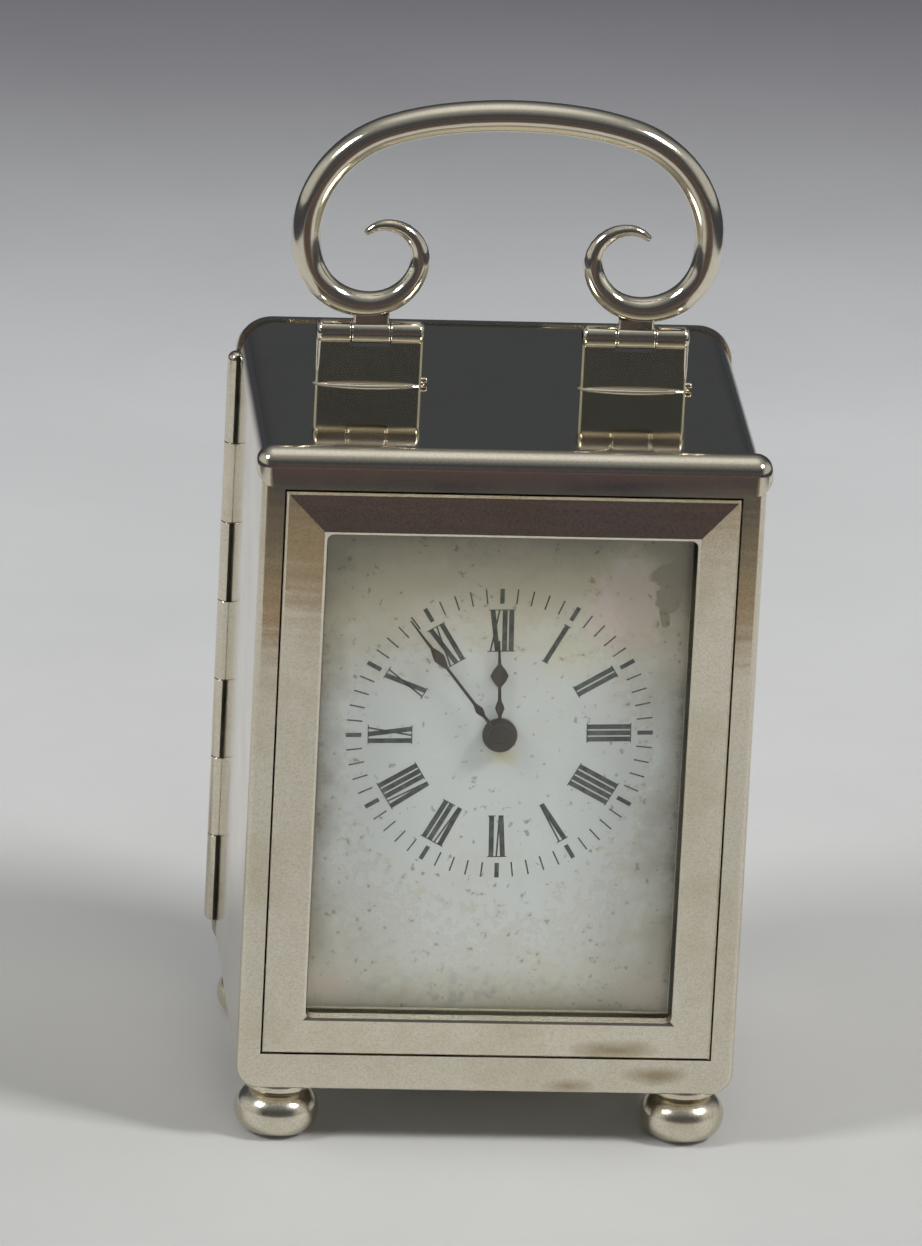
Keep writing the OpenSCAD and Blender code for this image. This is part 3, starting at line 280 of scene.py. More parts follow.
def stainedEnamel():
    # Vitreous enamel fired on copper: glossy white, umber from its edges inwards and beige towards the top,
    # both part stain and part painted shade from the bezel and rim, with a pink patch and a dark run at the
    # top right and a yellow mark under the centre
    material, tree, output, place = newMaterial("vitreousEnamel")
    halfW = (glassHigh.x - glassLow.x) / 2 - 1
    halfH = (glassHigh.z - glassLow.z) / 2 - 1
    glassMid = (glassLow + glassHigh) / 2
    mottle = addNode(
        tree, "TexNoise", {"Scale": metre / enamelLook["mottleMm"], "Detail": 5.0, "Roughness": 0.62},
        {"Vector": place},
    )
    speck = addNode(
        tree, "TexNoise", {"Scale": metre / enamelLook["speckMm"], "Detail": 2.0, "Roughness": 0.5},
        {"Vector": place},
    )

    # edge mask: the enamel goes umber towards the opening, part stain and part painted shade from the
    # bezel's recess
    square = addNode(
        tree,
        "Mapping",
        {
            "Location": (-glassMid.x / halfW, 0, -(glassMid.z - 1.5) / halfH),
            "Scale": (metre / halfW, 0, metre / halfH),
        },
        {"Vector": place},
    )
    size = addNode(tree, "VectorMath", {"operation": "ABSOLUTE"}, {0: square})
    parts = addNode(tree, "SeparateXYZ", {}, {0: size})
    wide = addNode(tree, "Math", {"operation": "POWER", 1: 7.0}, {0: parts})
    tall = addNode(tree, "Math", {"operation": "POWER", 1: 9.0}, {0: parts.outputs[2]})
    edge = addNode(tree, "Math", {"operation": "ADD"}, {0: wide, 1: tall})
    uneven = addNode(tree, "MapRange", {"range": (0.3, 0.7, -0.2, 0.2)}, {"Value": mottle.outputs["Fac"]})
    gentle = addNode(tree, "Math", {"operation": "MULTIPLY", 1: 0.35}, {0: uneven})
    fine = addNode(tree, "MapRange", {"range": (0.3, 0.7, -0.16, 0.16)}, {"Value": speck.outputs["Fac"]})
    frayed = addNode(tree, "Math", {"operation": "ADD"}, {0: gentle, 1: fine})
    stain = addNode(tree, "Math", {"operation": "ADD"}, {0: edge, 1: uneven})
    edgeStainAndShadeMask = addNode(tree, "ValToRGB", {"stops": [(0.25, 0.0), (1.0, 1.0)]}, {0: stain})
    # beige towards the top: part stain, part painted shade from the rim and bezel above
    upright = addNode(tree, "SeparateXYZ", {}, {0: place})
    topStainAndShadeZ = [(dialCentre.z + rise) / metre for rise in enamelLook["fade"]]
    fade = addNode(
        tree, "MapRange", {"interpolation_type": "SMOOTHSTEP", "range": topStainAndShadeZ},
        {"Value": upright.outputs[2]},
    )
    cloudy = addNode(tree, "Math", {"operation": "ADD"}, {0: fade, 1: uneven})
    topStainAndShadeMask = addNode(tree, "ValToRGB", {"stops": [(0.0, 0.0), (1.0, 1.0)]}, {0: cloudy})
    colour = addNode(
        tree, "Mix",
        {"data_type": "RGBA", 6: linear(enamelLook["white"]), 7: linear(enamelLook["beige"])},
        {0: topStainAndShadeMask},
    )
    colour = addNode(
        tree, "Mix", {"data_type": "RGBA", 7: linear(enamelLook["umber"])},
        {0: edgeStainAndShadeMask, 6: colour.outputs[2]},
    )
    for name, (x, z), (reachX, reachZ), stops in enamelLook["marks"]:
        centre = (dialCentre.x + x, dialCentre.y, dialCentre.z + z)
        ring = ovalRings(tree, place, centre, (reachX, enamelLook["depthMm"], reachZ))
        ragged = addNode(tree, "Math", {"operation": "ADD"}, {0: ring.outputs["Value"], 1: frayed})
        mask = addNode(tree, "ValToRGB", {"stops": stops}, {0: ragged})
        colour = addNode(
            tree, "Mix", {"data_type": "RGBA", 7: linear(enamelLook[name])},
            {0: mask, 6: colour.outputs[2]},
        )
    dust = addNode(tree, "ValToRGB", {"stops": [(0.66, 0.0), (0.74, 0.45)]}, {0: speck.outputs["Fac"]})
    colour = addNode(
        tree, "Mix", {"data_type": "RGBA", 7: linear(enamelLook["umber"])},
        {0: dust, 6: colour.outputs[2]},
    )
    shader = addNode(
        tree, "BsdfPrincipled",
        {"Roughness": enamelLook["rough"], "IOR": enamelLook["ior"], "Specular IOR Level": 0.5},
        {"Base Color": colour.outputs[2]},
    )
    tree.links.new(shader.outputs[0], output.inputs[0])
    return material


def firedBlack():
    # Black enamel paint fired on the dial: deep grey where it is thin
    material, tree, output, place = newMaterial("firedBlackEnamel")
    wear = addNode(tree, "TexNoise", {"Scale": metre / 0.8, "Detail": 3.0}, {"Vector": place})
    colour = addNode(
        tree, "ValToRGB", {"stops": [(0.35, "#1d2320"), (0.75, "#4a504a")]}, {0: wear.outputs["Fac"]}
    )
    shader = addNode(tree, "BsdfPrincipled", {"Roughness": 0.4, "IOR": 1.5}, {"Base Color": colour})
    tree.links.new(shader.outputs[0], output.inputs[0])
    return material


def flatGlass():
    # Plate glass, cut and polished flat: clear, with a thin uneven film that dulls its gloss in places
    material, tree, output, place = newMaterial("plateGlass")
    film = addNode(tree, "TexNoise", {"Scale": metre / 12.0, "Detail": 4.0}, {"Vector": place})
    rough = addNode(tree, "MapRange", {"range": (0.4, 0.8, 0.0, 0.05)}, {"Value": film.outputs["Fac"]})
    shader = addNode(
        tree, "BsdfPrincipled", {"Base Color": linear("#f7f8f6"), "Transmission Weight": 1.0, "IOR": 1.5},
        {"Roughness": rough},
    )
    clear = addNode(tree, "BsdfTransparent", {"Color": linear("#f4f8f5")})
    path = addNode(tree, "LightPath")
    mixed = addNode(tree, "MixShader", {}, {0: path.outputs["Is Shadow Ray"], 1: shader, 2: clear})
    tree.links.new(mixed.outputs[0], output.inputs[0])
    return material


def metal(name, base, dull, roughLow, roughHigh, grainMm, bumpMm, stretch=(1, 1, 1)):
    # a metal with its tone and polish broken up by a grain of the size given
    material, tree, output, place = newMaterial(name)
    moved = addNode(tree, "Mapping", {"Scale": stretch}, {"Vector": place})
    grain = addNode(
        tree, "TexNoise", {"Scale": metre / grainMm, "Detail": 4.0, "Roughness": 0.65}, {"Vector": moved}
    )
    cloud = addNode(tree, "TexNoise", {"Scale": metre / 6.0, "Detail": 3.0}, {"Vector": place})
    colour = addNode(tree, "ValToRGB", {"stops": [(0.35, base), (0.72, dull)]}, {0: cloud.outputs["Fac"]})
    rough = addNode(
        tree, "MapRange", {"range": (0.3, 0.7, roughLow, roughHigh)}, {"Value": grain.outputs["Fac"]}
    )
    bump = addNode(
        tree, "Bump", {"Strength": 1.0, "Distance": bumpMm / metre}, {"Height": grain.outputs["Fac"]}
    )
    shader = addNode(
        tree, "BsdfPrincipled", {"Metallic": 1.0},
        {"Base Color": colour, "Roughness": rough, "Normal": bump},
    )
    tree.links.new(shader.outputs[0], output.inputs[0])
    return material


enamel = stainedEnamel()
blackMarks = firedBlack()
glass = flatGlass()
# Gilt brass: plates and wheels, matted and gilded, so soft yellow with a satin sheen
giltBrass = metal("giltBrass", "#d9b565", "#b88f45", 0.24, 0.4, 0.25, 0.002)
# Polished brass: barrel and pillars, turned, with fine rings
turnedBrass = metal("turnedBrass", "#d8b066", "#a9843f", 0.14, 0.3, 0.4, 0.002, (0.2, 1, 0.2))
# Tool steel, polished: arbors, ratchet and lever
polishedSteel = metal("polishedSteel", "#b9bbbd", "#8d8f92", 0.1, 0.26, 0.3, 0.001)
# Steel blued by heat: screws and springs
bluedSteel = metal("bluedSteel", "#2c3f6e", "#27345a", 0.12, 0.28, 0.4, 0.001)
# Blued hands gone brown and dull under the glass
oldBluedSteel = metal("oldBluedSteel", "#3a3632", "#5a4e3f", 0.35, 0.6, 0.5, 0.004)
# Painted shade: silver coloured dark on the door knuckles beside the case wall, standing in for the shadowed
# reflection in that crevice
paintedShadeSilver = metal("paintedShadeSilver", "#5a564a", "#38352d", 0.3, 0.5, 0.4, 0.002)
# Nickel-silver platform, spotted and grey
nickelSilver = metal("nickelSilver", "#b7b3a6", "#8f8b7e", 0.2, 0.38, 0.3, 0.0015)

print("materials made")


def finishPiece(bm, name, body, material, stands=(), sharp=32, even=True):
    # from millimetres to metres, then smooth with crisp edges above the angle given
    bmesh.ops.remove_doubles(bm, verts=bm.verts, dist=0.0005)
    bmesh.ops.recalc_face_normals(bm, faces=bm.faces)
    bmesh.ops.scale(bm, vec=(1 / metre,) * 3, verts=bm.verts)
    for face in bm.faces:
        face.smooth = True
    for edge in bm.edges:
        edge.smooth = edge.calc_face_angle(math.pi) < math.radians(sharp)
    piece = meshObject(bm, name)
    piece.data.materials.append(material)
    if even:
        normals = piece.modifiers.new("evenNormals", "WEIGHTED_NORMAL")
        normals.keep_sharp = True
    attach(piece, body)
    if stands:
        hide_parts(*stands)
    return piece


def addBlock(bm, low, high):
    low, high = Vector(low), Vector(high)
    made = bmesh.ops.create_cube(bm, size=1.0, matrix=Matrix.LocRotScale((low + high) / 2, None, high - low))
    return made["verts"]


def edgesOf(verts):
    return list({edge for vert in verts for edge in vert.link_edges})


def along(edge, axis):
    way = (edge.verts[0].co - edge.verts[1].co).normalized()
    return abs(way[axis]) > 0.999


def roundEdges(bm, edges, radius, segments=4):
    return bmesh.ops.bevel(
        bm,
        geom=edges,
        offset=radius,
        offset_type="OFFSET",
        segments=segments,
        profile=0.5,
        affect="EDGES",
        clamp_overlap=True,
        material=-1,
    )


def addBar(bm, start, end, radius, rounding, sides=40):
    # round bar with its ends softened
    start, end = Vector(start), Vector(end)
    way = end - start
    turn = way.to_track_quat("Z", "Y").to_matrix().to_4x4()
    made = bmesh.ops.create_cone(
        bm,
        cap_ends=True,
        segments=sides,
        radius1=radius,
        radius2=radius,
        depth=way.length,
        matrix=Matrix.Translation((start + end) / 2) @ turn,
    )
    if rounding:
        rims = [e for e in edgesOf(made["verts"]) if any(len(f.verts) > 4 for f in e.link_faces)]
        roundEdges(bm, rims, rounding, 4)
    return made


def cutPlane(bm, faces, point, normal):
    geom = list({g for f in faces for g in [f, *f.edges, *f.verts]})
    bmesh.ops.bisect_plane(bm, geom=geom, plane_co=point, plane_no=normal, dist=1e-5)


doorLook = {
    "round": 0.35,
    "edge": 0.25,
    "clear": 0.05,
    "barrel": 1.0,
    "knuckles": 7,
    "gap": 0.05,
    "pinStand": 0.3,
    "tip": 1.1,
    "tipRound": 0.75,
    "endRound": 0.06,
    "tab": (0.12, 0.92),
    "tabReach": 1.6,
    "tabShort": 0.02,
    "leaf": 0.7,
    "crevice": 0.22,
    "slot": 1.5,
}
doorKnuckles, caseKnuckles = (0, 2, 4, 6), (1, 3, 5)


def knuckleSpan(index):
    # the first and the last run on into a rounded tip
    low, high = pinLow.z - doorLook["pinStand"], pinHigh.z + doorLook["pinStand"]
    pitch = (high - low) / doorLook["knuckles"]
    start = low + index * pitch + doorLook["gap"] / 2
    end = low + (index + 1) * pitch - doorLook["gap"] / 2
    if index == 0:
        start -= doorLook["tip"]
    if index == doorLook["knuckles"] - 1:
        end += doorLook["tip"]
    return start, end


caseLook = {
    "topCorner": 3.6,
    "bottomCorner": 2.4,
    "arris": 0.7,
    "wall": 0.9,
    "flange": 0.9,
    "seam": 0.12,
    "hingeRoom": 1.08,
}


def roundCorners(bm):
    # the four corners of the case as the front shows them
    middle = (caseLow.z + caseHigh.z) / 2
    for high, radius in ((True, caseLook["topCorner"]), (False, caseLook["bottomCorner"])):
        corners = [e for e in bm.edges if along(e, 1) and (e.verts[0].co.z > middle) == high]
        roundEdges(bm, corners, radius, 12)


def buildCase():
    # folded body and front plate as one skin, with the bezel's opening and the hinge's notch
    bm = bmesh.new()
    addBlock(bm, (caseLow.x, frontY, caseLow.z), caseHigh)
    roundCorners(bm)
    bm.normal_update()
    back = [f for f in bm.faces if f.normal.y > 0.99]
    bmesh.ops.delete(bm, geom=back, context="FACES")
    front = [f for f in bm.faces if f.normal.y < -0.99]
    roundEdges(bm, list(front[0].edges), caseLook["arris"], 5)
    inset = caseLook["flange"] - caseLook["seam"]
    low = bezelLow + Vector((inset, 0, inset))
    high = bezelHigh - Vector((inset, 0, inset))
    for point, normal in ((low, (1, 0, 0)), (high, (1, 0, 0)), (low, (0, 0, 1)), (high, (0, 0, 1))):
        bm.normal_update()
        front = [f for f in bm.faces if f.normal.y < -0.99]
        cutPlane(bm, front, point, normal)
    bm.normal_update()
    opening = [
        f
        for f in bm.faces
        if f.normal.y < -0.99
        and low.x < f.calc_center_median().x < high.x
        and low.z < f.calc_center_median().z < high.z
    ]
    bmesh.ops.delete(bm, geom=opening, context="FACES")
    spans = [knuckleSpan(index) for index in range(doorLook["knuckles"])]
    notchY = doorAxis.y - caseLook["hingeRoom"]
    slotY = doorAxis.y - doorLook["slot"]
    planes = [((0, 0, low), (0, 0, 1)) for low, high in spans] + [((0, 0, spans[-1][1]), (0, 0, 1))]
    for point, normal in planes + [((0, notchY, 0), (0, 1, 0)), ((0, slotY, 0), (0, 1, 0))]:
        bm.normal_update()
        cutPlane(bm, [f for f in bm.faces if f.normal.x < -0.99], point, normal)
    bm.normal_update()
    notch = []
    for face in bm.faces:
        middle = face.calc_center_median()
        for index, (low, high) in enumerate(spans):
            depth = slotY if index in doorKnuckles else notchY
            if face.normal.x < -0.99 and middle.y > depth and low - 0.1 < middle.z < high + 0.1:
                notch.append(face)
    bmesh.ops.delete(bm, geom=list(set(notch)), context="FACES")
    stands = ("case_shell", "front_frame")
    piece = finishPiece(bm, "caseBody", "case", silverCase, stands, even=False)
    piece.data.materials.append(silverTop)
    for face in piece.data.polygons:
        if face.normal.z > 0.5:
            face.material_index = 1
    wall = piece.modifiers.new("wall", "SOLIDIFY")
    wall.thickness = caseLook["wall"] / metre
    wall.offset = -1.0
    normals = piece.modifiers.new("evenNormals", "WEIGHTED_NORMAL")
    normals.keep_sharp = True
    return piece


rimLook = {"round": 1.85, "segments": 8}


def buildRim():
    # bead along the top of the front, with ball-like ends and a crisp lower edge
    bm = bmesh.new()
    addBlock(bm, rimLow, rimHigh)
    middle = (rimLow + rimHigh) / 2
    front = [e for e in bm.edges if all(v.co.y < middle.y for v in e.verts)]
    low = [e for e in front if all(v.co.z < middle.z for v in e.verts)]
    corners = [e for e in bm.edges if along(e, 1)]
    roundEdges(bm, list(set(front + corners) - set(low)), rimLook["round"], rimLook["segments"])
    return finishPiece(bm, "topRim", "case", silverRim, ("top_rim",), sharp=50)


bezelLook = {
    "seam": 0.07,
    "proud": 0.05,
    "arris": 0.22,
    "arrisRise": 0.26,
    "slope": 3.62,
    "slopeRise": 0.63,
    "lip": 0.26,
    "lipDrop": 0.14,
    "depth": 0.6,
    "corner": 0.7,
}


def buildBezel():
    # mitred frame, stepped up from its outer edge and turned over at the glass
    bm = bmesh.new()
    flange = caseLook["flange"]
    room = flange + bezelLook["seam"]
    low = bezelLow + Vector((room, 0, room))
    high = bezelHigh - Vector((room, 0, room))
    faceY = frontY - bezelLook["proud"]
    corners = ((low.x, low.z), (high.x, low.z), (high.x, high.z), (low.x, high.z))
    verts = [bm.verts.new((x, faceY, z)) for x, z in corners]
    face = bm.faces.new(verts)
    bm.normal_update()
    if face.normal.y > 0:
        face.normal_flip()
    for width, rise in (
        (bezelLook["arris"], bezelLook["arrisRise"]),
        (bezelLook["slope"], bezelLook["slopeRise"]),
        (bezelLook["lip"], -bezelLook["lipDrop"]),
    ):
        bmesh.ops.inset_region(
            bm, faces=[face], thickness=width, depth=rise, use_boundary=True, use_even_offset=True
        )
    backY = frontY + bezelLook["depth"]
    outer = [e for e in bm.edges if e.is_boundary]
    for loop in (outer, list(face.edges)):
        made = bmesh.ops.extrude_edge_only(bm, edges=loop)
        moved = [g for g in made["geom"] if isinstance(g, bmesh.types.BMVert)]
        for vert in moved:
            vert.co.y = backY
    bmesh.ops.delete(bm, geom=[face], context="FACES_ONLY")
    rims = [e for e in bm.edges if e.is_boundary]
    bmesh.ops.bridge_loops(bm, edges=rims)
    within = bezelLook["arris"] + bezelLook["slope"] / 2
    inner = [
        e
        for e in bm.edges
        if along(e, 1)
        and low.x + within < e.verts[0].co.x < high.x - within
        and low.z + within < e.verts[0].co.z < high.z - within
    ]
    roundEdges(bm, inner, bezelLook["corner"], 5)
    return finishPiece(bm, "bezelFrame", "case", silverCase, ("bezel",), sharp=8)


print("case pieces ready")


handleLook = {
    # stretches of the half handle from the top of its arch: radius and sweep in degrees
    "arcs": [(49, 8), (30, 10.5), (11.8, 47.5), (11.1, 37), (6.2, 87.5), (5, 71), (3.5, 102), (2.6, 41)],
    "topRadius": 1.58,
    "lowRadius": 1.36,
    "tipRadius": 0.36,
    "archSweep": 140,
    "scrollSweep": 265,
    "taper": 1.25,
    "rise": 22.8,
    "stepMm": 0.8,
    "bracketX": 13.3,
    "knuckle": 3.8,
    "barrel": 1.2,
    "barrelRound": 0.12,
    "neckHalf": 0.65,
    "neckInset": 0.1,
    "neckRise": (0.6, 1.9),
    "neckRound": 0.3,
}


def halfHandleLine():
    # points down one side, each with the wire's radius: it thins over the arch and more in the scroll
    topR, lowR, tipR = handleLook["topRadius"], handleLook["lowRadius"], handleLook["tipRadius"]
    arch = handleLook["archSweep"]
    x, z, heading, turned = 0.0, handleLook["rise"], math.pi, 0.0
    line = [(x, z, topR)]
    for radius, sweep in handleLook["arcs"]:
        angle = math.radians(sweep)
        steps = max(2, math.ceil(radius * angle / handleLook["stepMm"]))
        startX, startZ = x, z
        for step in range(1, steps + 1):
            part = heading + angle * step / steps
            x = startX + radius * (math.sin(part) - math.sin(heading))
            z = startZ + radius * (math.cos(heading) - math.cos(part))
            done = turned + sweep * step / steps
            if done < arch:
                wire = topR - (topR - lowR) * done / arch
            else:
                thin = ((done - arch) / handleLook["scrollSweep"]) ** handleLook["taper"]
                wire = lowR - (lowR - tipR) * min(thin, 1)
            line.append((x, z, wire))
        heading += angle
        turned += sweep
    return line, heading


def buildBail():
    line, heading = halfHandleLine()
    # a rounded tip, so the wire doesn't end flat
    x, z, tip = line[-1]
    for step in range(1, 6):
        angle = step * math.pi / 10
        reach = tip * math.sin(angle)
        wire = max(tip * math.cos(angle), 0.01)
        line.append((x + reach * math.cos(heading), z + reach * math.sin(heading), wire))
    whole = [(-px, pz, r) for px, pz, r in reversed(line[1:])] + line
    curve = bpy.data.curves.new("bailLine", "CURVE")
    curve.dimensions = "3D"
    curve.bevel_depth = 1.0
    curve.bevel_resolution = 8
    curve.use_fill_caps = True
    spline = curve.splines.new("POLY")
    spline.points.add(len(whole) - 1)
    for point, (px, pz, radius) in zip(spline.points, whole):
        point.co = (handleAxis.x + px, handleAxis.y, handleAxis.z + pz, 1.0)
        point.radius = radius
    holder = addObject("bailLine", curve)
    mesh = bpy.data.meshes.new_from_object(holder)
    bm = bmesh.new()
    bm.from_mesh(mesh)
    bpy.data.objects.remove(holder)
    for side in (-1, 1):
        centre = Vector((handleAxis.x + side * handleLook["bracketX"], handleAxis.y, handleAxis.z))
        half = Vector((handleLook["knuckle"] / 2, 0, 0))
        addBar(bm, centre - half, centre + half, handleLook["barrel"], handleLook["barrelRound"])
        wide, deep = half.x - handleLook["neckInset"], handleLook["neckHalf"]
        low, high = handleLook["neckRise"]
        neck = addBlock(bm, centre + Vector((-wide, -deep, low)), centre + Vector((wide, deep, high)))
        roundEdges(bm, [e for e in edgesOf(neck) if along(e, 2)], handleLook["neckRound"], 4)
    stands = ("handle_bail", "handle_knuckles")
    return finishPiece(bm, "handleWire", "handle", silverWire, stands, sharp=40, even=False)


bracketLook = {
    "width": 10.7,
    "halfPlate": 0.6,
    "edge": 0.5,
    "barrel": 1.2,
    "innerRound": 0.12,
    "outerRound": 0.55,
    "slot": 2.0,
    "slotDrop": 0.25,
    "footReach": 1.08,
    "footHalf": 1.45,
    "footHeight": 0.5,
    "pip": 0.3,
    "pipRise": 0.45,
    "pipReach": (-0.2, 0.55),
}


def endRims(bar, axis, ends):
    # the edges round both ends of a bar, taken before either is rounded
    edges = edgesOf(bar["verts"])
    return [[e for e in edges if all(abs(v.co[axis] - end) < 0.001 for v in e.verts)] for end in ends]


def buildBracket(side):
    # upright plate on a lens-shaped foot, with a knuckle at each end of its top edge
    bm = bmesh.new()
    x = handleAxis.x + side * handleLook["bracketX"]
    half, thick = bracketLook["width"] / 2, bracketLook["halfPlate"]
    y = handleAxis.y
    notchZ = handleAxis.z - bracketLook["barrel"] - bracketLook["slotDrop"]
    plate = addBlock(bm, (x - half, y - thick, topZ), (x + half, y + thick, notchZ))
    roundEdges(bm, [e for e in edgesOf(plate) if along(e, 2)], bracketLook["edge"], 5)
    for end in (-1, 1):
        near = x + end * bracketLook["slot"]
        out = x + end * half
        web = addBlock(
            bm, (min(near, out), y - thick, notchZ), (max(near, out), y + thick, handleAxis.z)
        )
        outer = [e for e in edgesOf(web) if along(e, 2) and abs(e.verts[0].co.x - out) < 0.001]
        roundEdges(bm, outer, bracketLook["edge"], 5)
        bar = addBar(bm, (near, y, handleAxis.z), (out, y, handleAxis.z), bracketLook["barrel"], 0)
        inner, outer = endRims(bar, 0, (near, out))
        roundEdges(bm, inner, bracketLook["innerRound"], 3)
        roundEdges(bm, outer, bracketLook["outerRound"], 5)
    size = (half * bracketLook["footReach"], bracketLook["footHalf"], bracketLook["footHeight"], 1)
    place = Matrix.Translation((x, y, topZ)) @ Matrix.Diagonal(size)
    foot = bmesh.ops.create_uvsphere(bm, u_segments=32, v_segments=12, radius=1.0, matrix=place)
    low = [v for v in foot["verts"] if v.co.z < topZ - 0.01]
    bmesh.ops.delete(bm, geom=low, context="VERTS")
    pip = [(x + half + reach, y, topZ + bracketLook["pipRise"]) for reach in bracketLook["pipReach"]]
    addBar(bm, pip[0], pip[1], bracketLook["pip"], bracketLook["innerRound"], 20)
    name, node = ("bracketLeft", "bracket_left") if side < 0 else ("bracketRight", "bracket_right")
    return finishPiece(bm, name, "case", silverBracket, (node,), sharp=40)


footLook = {"neckHeight": 1.1, "neckIn": 0.85, "arris": 0.15, "steps": 10}


def buildFoot(node, name):
    # bun turned from a solid, spun round its own axis
    low, high = boxMm(node)
    centre = (low + high) / 2
    bunRadius = (high.x - low.x) / 2
    bunHeight = high.z - low.z - footLook["neckHeight"]
    roundR = bunHeight / 2
    restR = bunRadius - roundR
    neckR = bunRadius - footLook["neckIn"]
    outline = [(0.0, 0.0), (restR * 0.6, 0.0)]
    for step in range(footLook["steps"] * 2 + 1):
        angle = -math.pi / 2 + math.pi * step / (footLook["steps"] * 2)
        outline.append((restR + roundR * math.cos(angle), roundR + roundR * math.sin(angle)))
    outline += [(neckR - 0.35, bunHeight + 0.02), (neckR - 0.1, bunHeight + 0.12), (neckR, bunHeight + 0.35)]
    top = bunHeight + footLook["neckHeight"]
    outline += [(neckR, top - footLook["arris"]), (neckR - footLook["arris"], top), (0.0, top)]
    bm = bmesh.new()
    verts = [bm.verts.new((centre.x + r, centre.y, low.z + z)) for r, z in outline]
    edges = [bm.edges.new(pair) for pair in zip(verts, verts[1:])]
    turn = {"cent": centre, "axis": (0, 0, 1), "angle": 2 * math.pi, "steps": 64, "use_merge": True}
    bmesh.ops.spin(bm, geom=verts + edges, **turn)
    return finishPiece(bm, name, "case", silverFoot, (node,), sharp=50)


def addKnuckles(bm, indexes, side):
    # side is 1 for the door's tabs and -1 for the case's
    for index in indexes:
        low, high = knuckleSpan(index)
        ends = [(doorAxis.x, doorAxis.y, level) for level in (low, high)]
        bar = addBar(bm, ends[0], ends[1], doorLook["barrel"], 0, 32)
        # door knuckle faces beside the case wall get the dark silver: painted shade of the crevice
        for face in {f for v in bar["verts"] for f in v.link_faces}:
            middle = face.calc_center_median()
            inPaintedShade = middle.x > doorAxis.x - doorLook["crevice"] and middle.y < doorAxis.y
            face.material_index = int(side > 0 and inPaintedShade and abs(face.normal.z) < 0.5)
        tips = (index == 0, index == doorLook["knuckles"] - 1)
        for rim, tip in zip(endRims(bar, 2, (low, high)), tips):
            roundEdges(bm, rim, doorLook["tipRound"] if tip else doorLook["endRound"], 4)
        tab = sorted(doorAxis.y + side * reach for reach in doorLook["tab"])
        short, reach = doorLook["tabShort"], doorLook["tabReach"]
        addBlock(bm, (doorAxis.x, tab[0], low + short), (doorAxis.x + reach, tab[1], high - short))


def buildDoor():
    bm = bmesh.new()
    edge = doorLook["edge"]
    plateLow = Vector((caseLow.x - edge, caseHigh.y + doorLook["clear"], caseLow.z - edge))
    plateHigh = Vector((caseHigh.x + edge, doorHigh.y, rimHigh.z))
    addBlock(bm, plateLow, plateHigh)
    roundCorners(bm)
    bm.normal_update()
    outer = [f for f in bm.faces if f.normal.y > 0.99]
    roundEdges(bm, list(outer[0].edges), doorLook["round"], 4)
    addKnuckles(bm, doorKnuckles, 1)
    piece = finishPiece(bm, "backDoor", "door", silverCase, ("back_door",), sharp=35)
    # second material: the painted crevice shade on the door's knuckles
    piece.data.materials.append(paintedShadeSilver)
    return piece


def buildHingeLeaf():
    bm = bmesh.new()
    leafLow, leafHigh = boxMm("case_hinge")
    x = caseLow.x + caseLook["wall"]
    addBlock(bm, (x, leafLow.y, leafLow.z), (x + doorLook["leaf"], doorAxis.y - 0.1, leafHigh.z))
    addKnuckles(bm, caseKnuckles, -1)
    return finishPiece(bm, "caseHinge", "case", silverCase, ("case_hinge",), sharp=35)


catchLook = {"nibRound": 0.4, "tongueBack": 0.9, "tongueThick": 0.6, "tongueRound": 0.12, "into": 0.05}


def buildCatch():
    # thumb nib outside and the sprung tongue inside
    bm = bmesh.new()
    into = catchLook["into"]
    nib = addBlock(bm, (catchLow.x, doorHigh.y - into, catchLow.z), catchHigh)
    outer = [e for e in edgesOf(nib) if max(v.co.y for v in e.verts) > doorHigh.y]
    roundEdges(bm, outer, catchLook["nibRound"], 4)
    tongueX = catchHigh.x - catchLook["tongueBack"]
    tongueHigh = (tongueX + catchLook["tongueThick"], caseHigh.y + into, catchHigh.z)
    tongue = addBlock(bm, (tongueX, catchLow.y, catchLow.z), tongueHigh)
    roundEdges(bm, edgesOf(tongue), catchLook["tongueRound"], 2)
    return finishPiece(bm, "doorCatch", "door", silverWire, ("door_catch",), sharp=40)


marksLook = {
    "thick": 0.02,
    "turn": 1.6,
    "tickInner": 13.77,
    "tickOuter": 15.33,
    "tickThin": 0.15,
    "tickWide": 0.44,
    "numeralInner": 8.7,
    "numeralOuter": 13.15,
    "stem": 0.5,
    "hair": 0.17,
    "serif": 0.1,
    "serifReach": 0.13,
    "side": 0.12,
    "hairSerif": 0.15,
    "advance": {"I": 0.66, "V": 1.2, "X": 1.28},
    "hours": ["XII", "I", "II", "III", "IIII", "V", "VI", "VII", "VIII", "IX", "X", "XI"],
}


def addStroke(bm, place, low, high, width):
    # upright or leaning bar from low to high, as wide as given along its baseline
    lean = Matrix.Identity(4)
    lean.col[0] = Vector((width, 0, 0, 0))
    lean.col[1] = Vector((high[0] - low[0], high[1] - low[1], 0, 0))
    lean.translation = Vector(((low[0] + high[0]) / 2, (low[1] + high[1]) / 2, 0))
    bmesh.ops.create_grid(bm, x_segments=1, y_segments=1, size=0.5, matrix=place @ lean)


def markPlace(angle):
    # dial plane turned so that y points outwards at this clock angle
    stand = Matrix.Rotation(math.radians(90), 4, "X")
    turn = Matrix.Rotation(-math.radians(angle - marksLook["turn"]), 4, "Z")
    return Matrix.Translation(dialCentre) @ stand @ turn


def buildTicks():
    bm = bmesh.new()
    for minute in range(60):
        width = marksLook["tickThin"] if minute % 5 else marksLook["tickWide"]
        addStroke(bm, markPlace(minute * 6), (0, marksLook["tickInner"]), (0, marksLook["tickOuter"]), width)
    return finishMarks(bm, "minuteTicks")


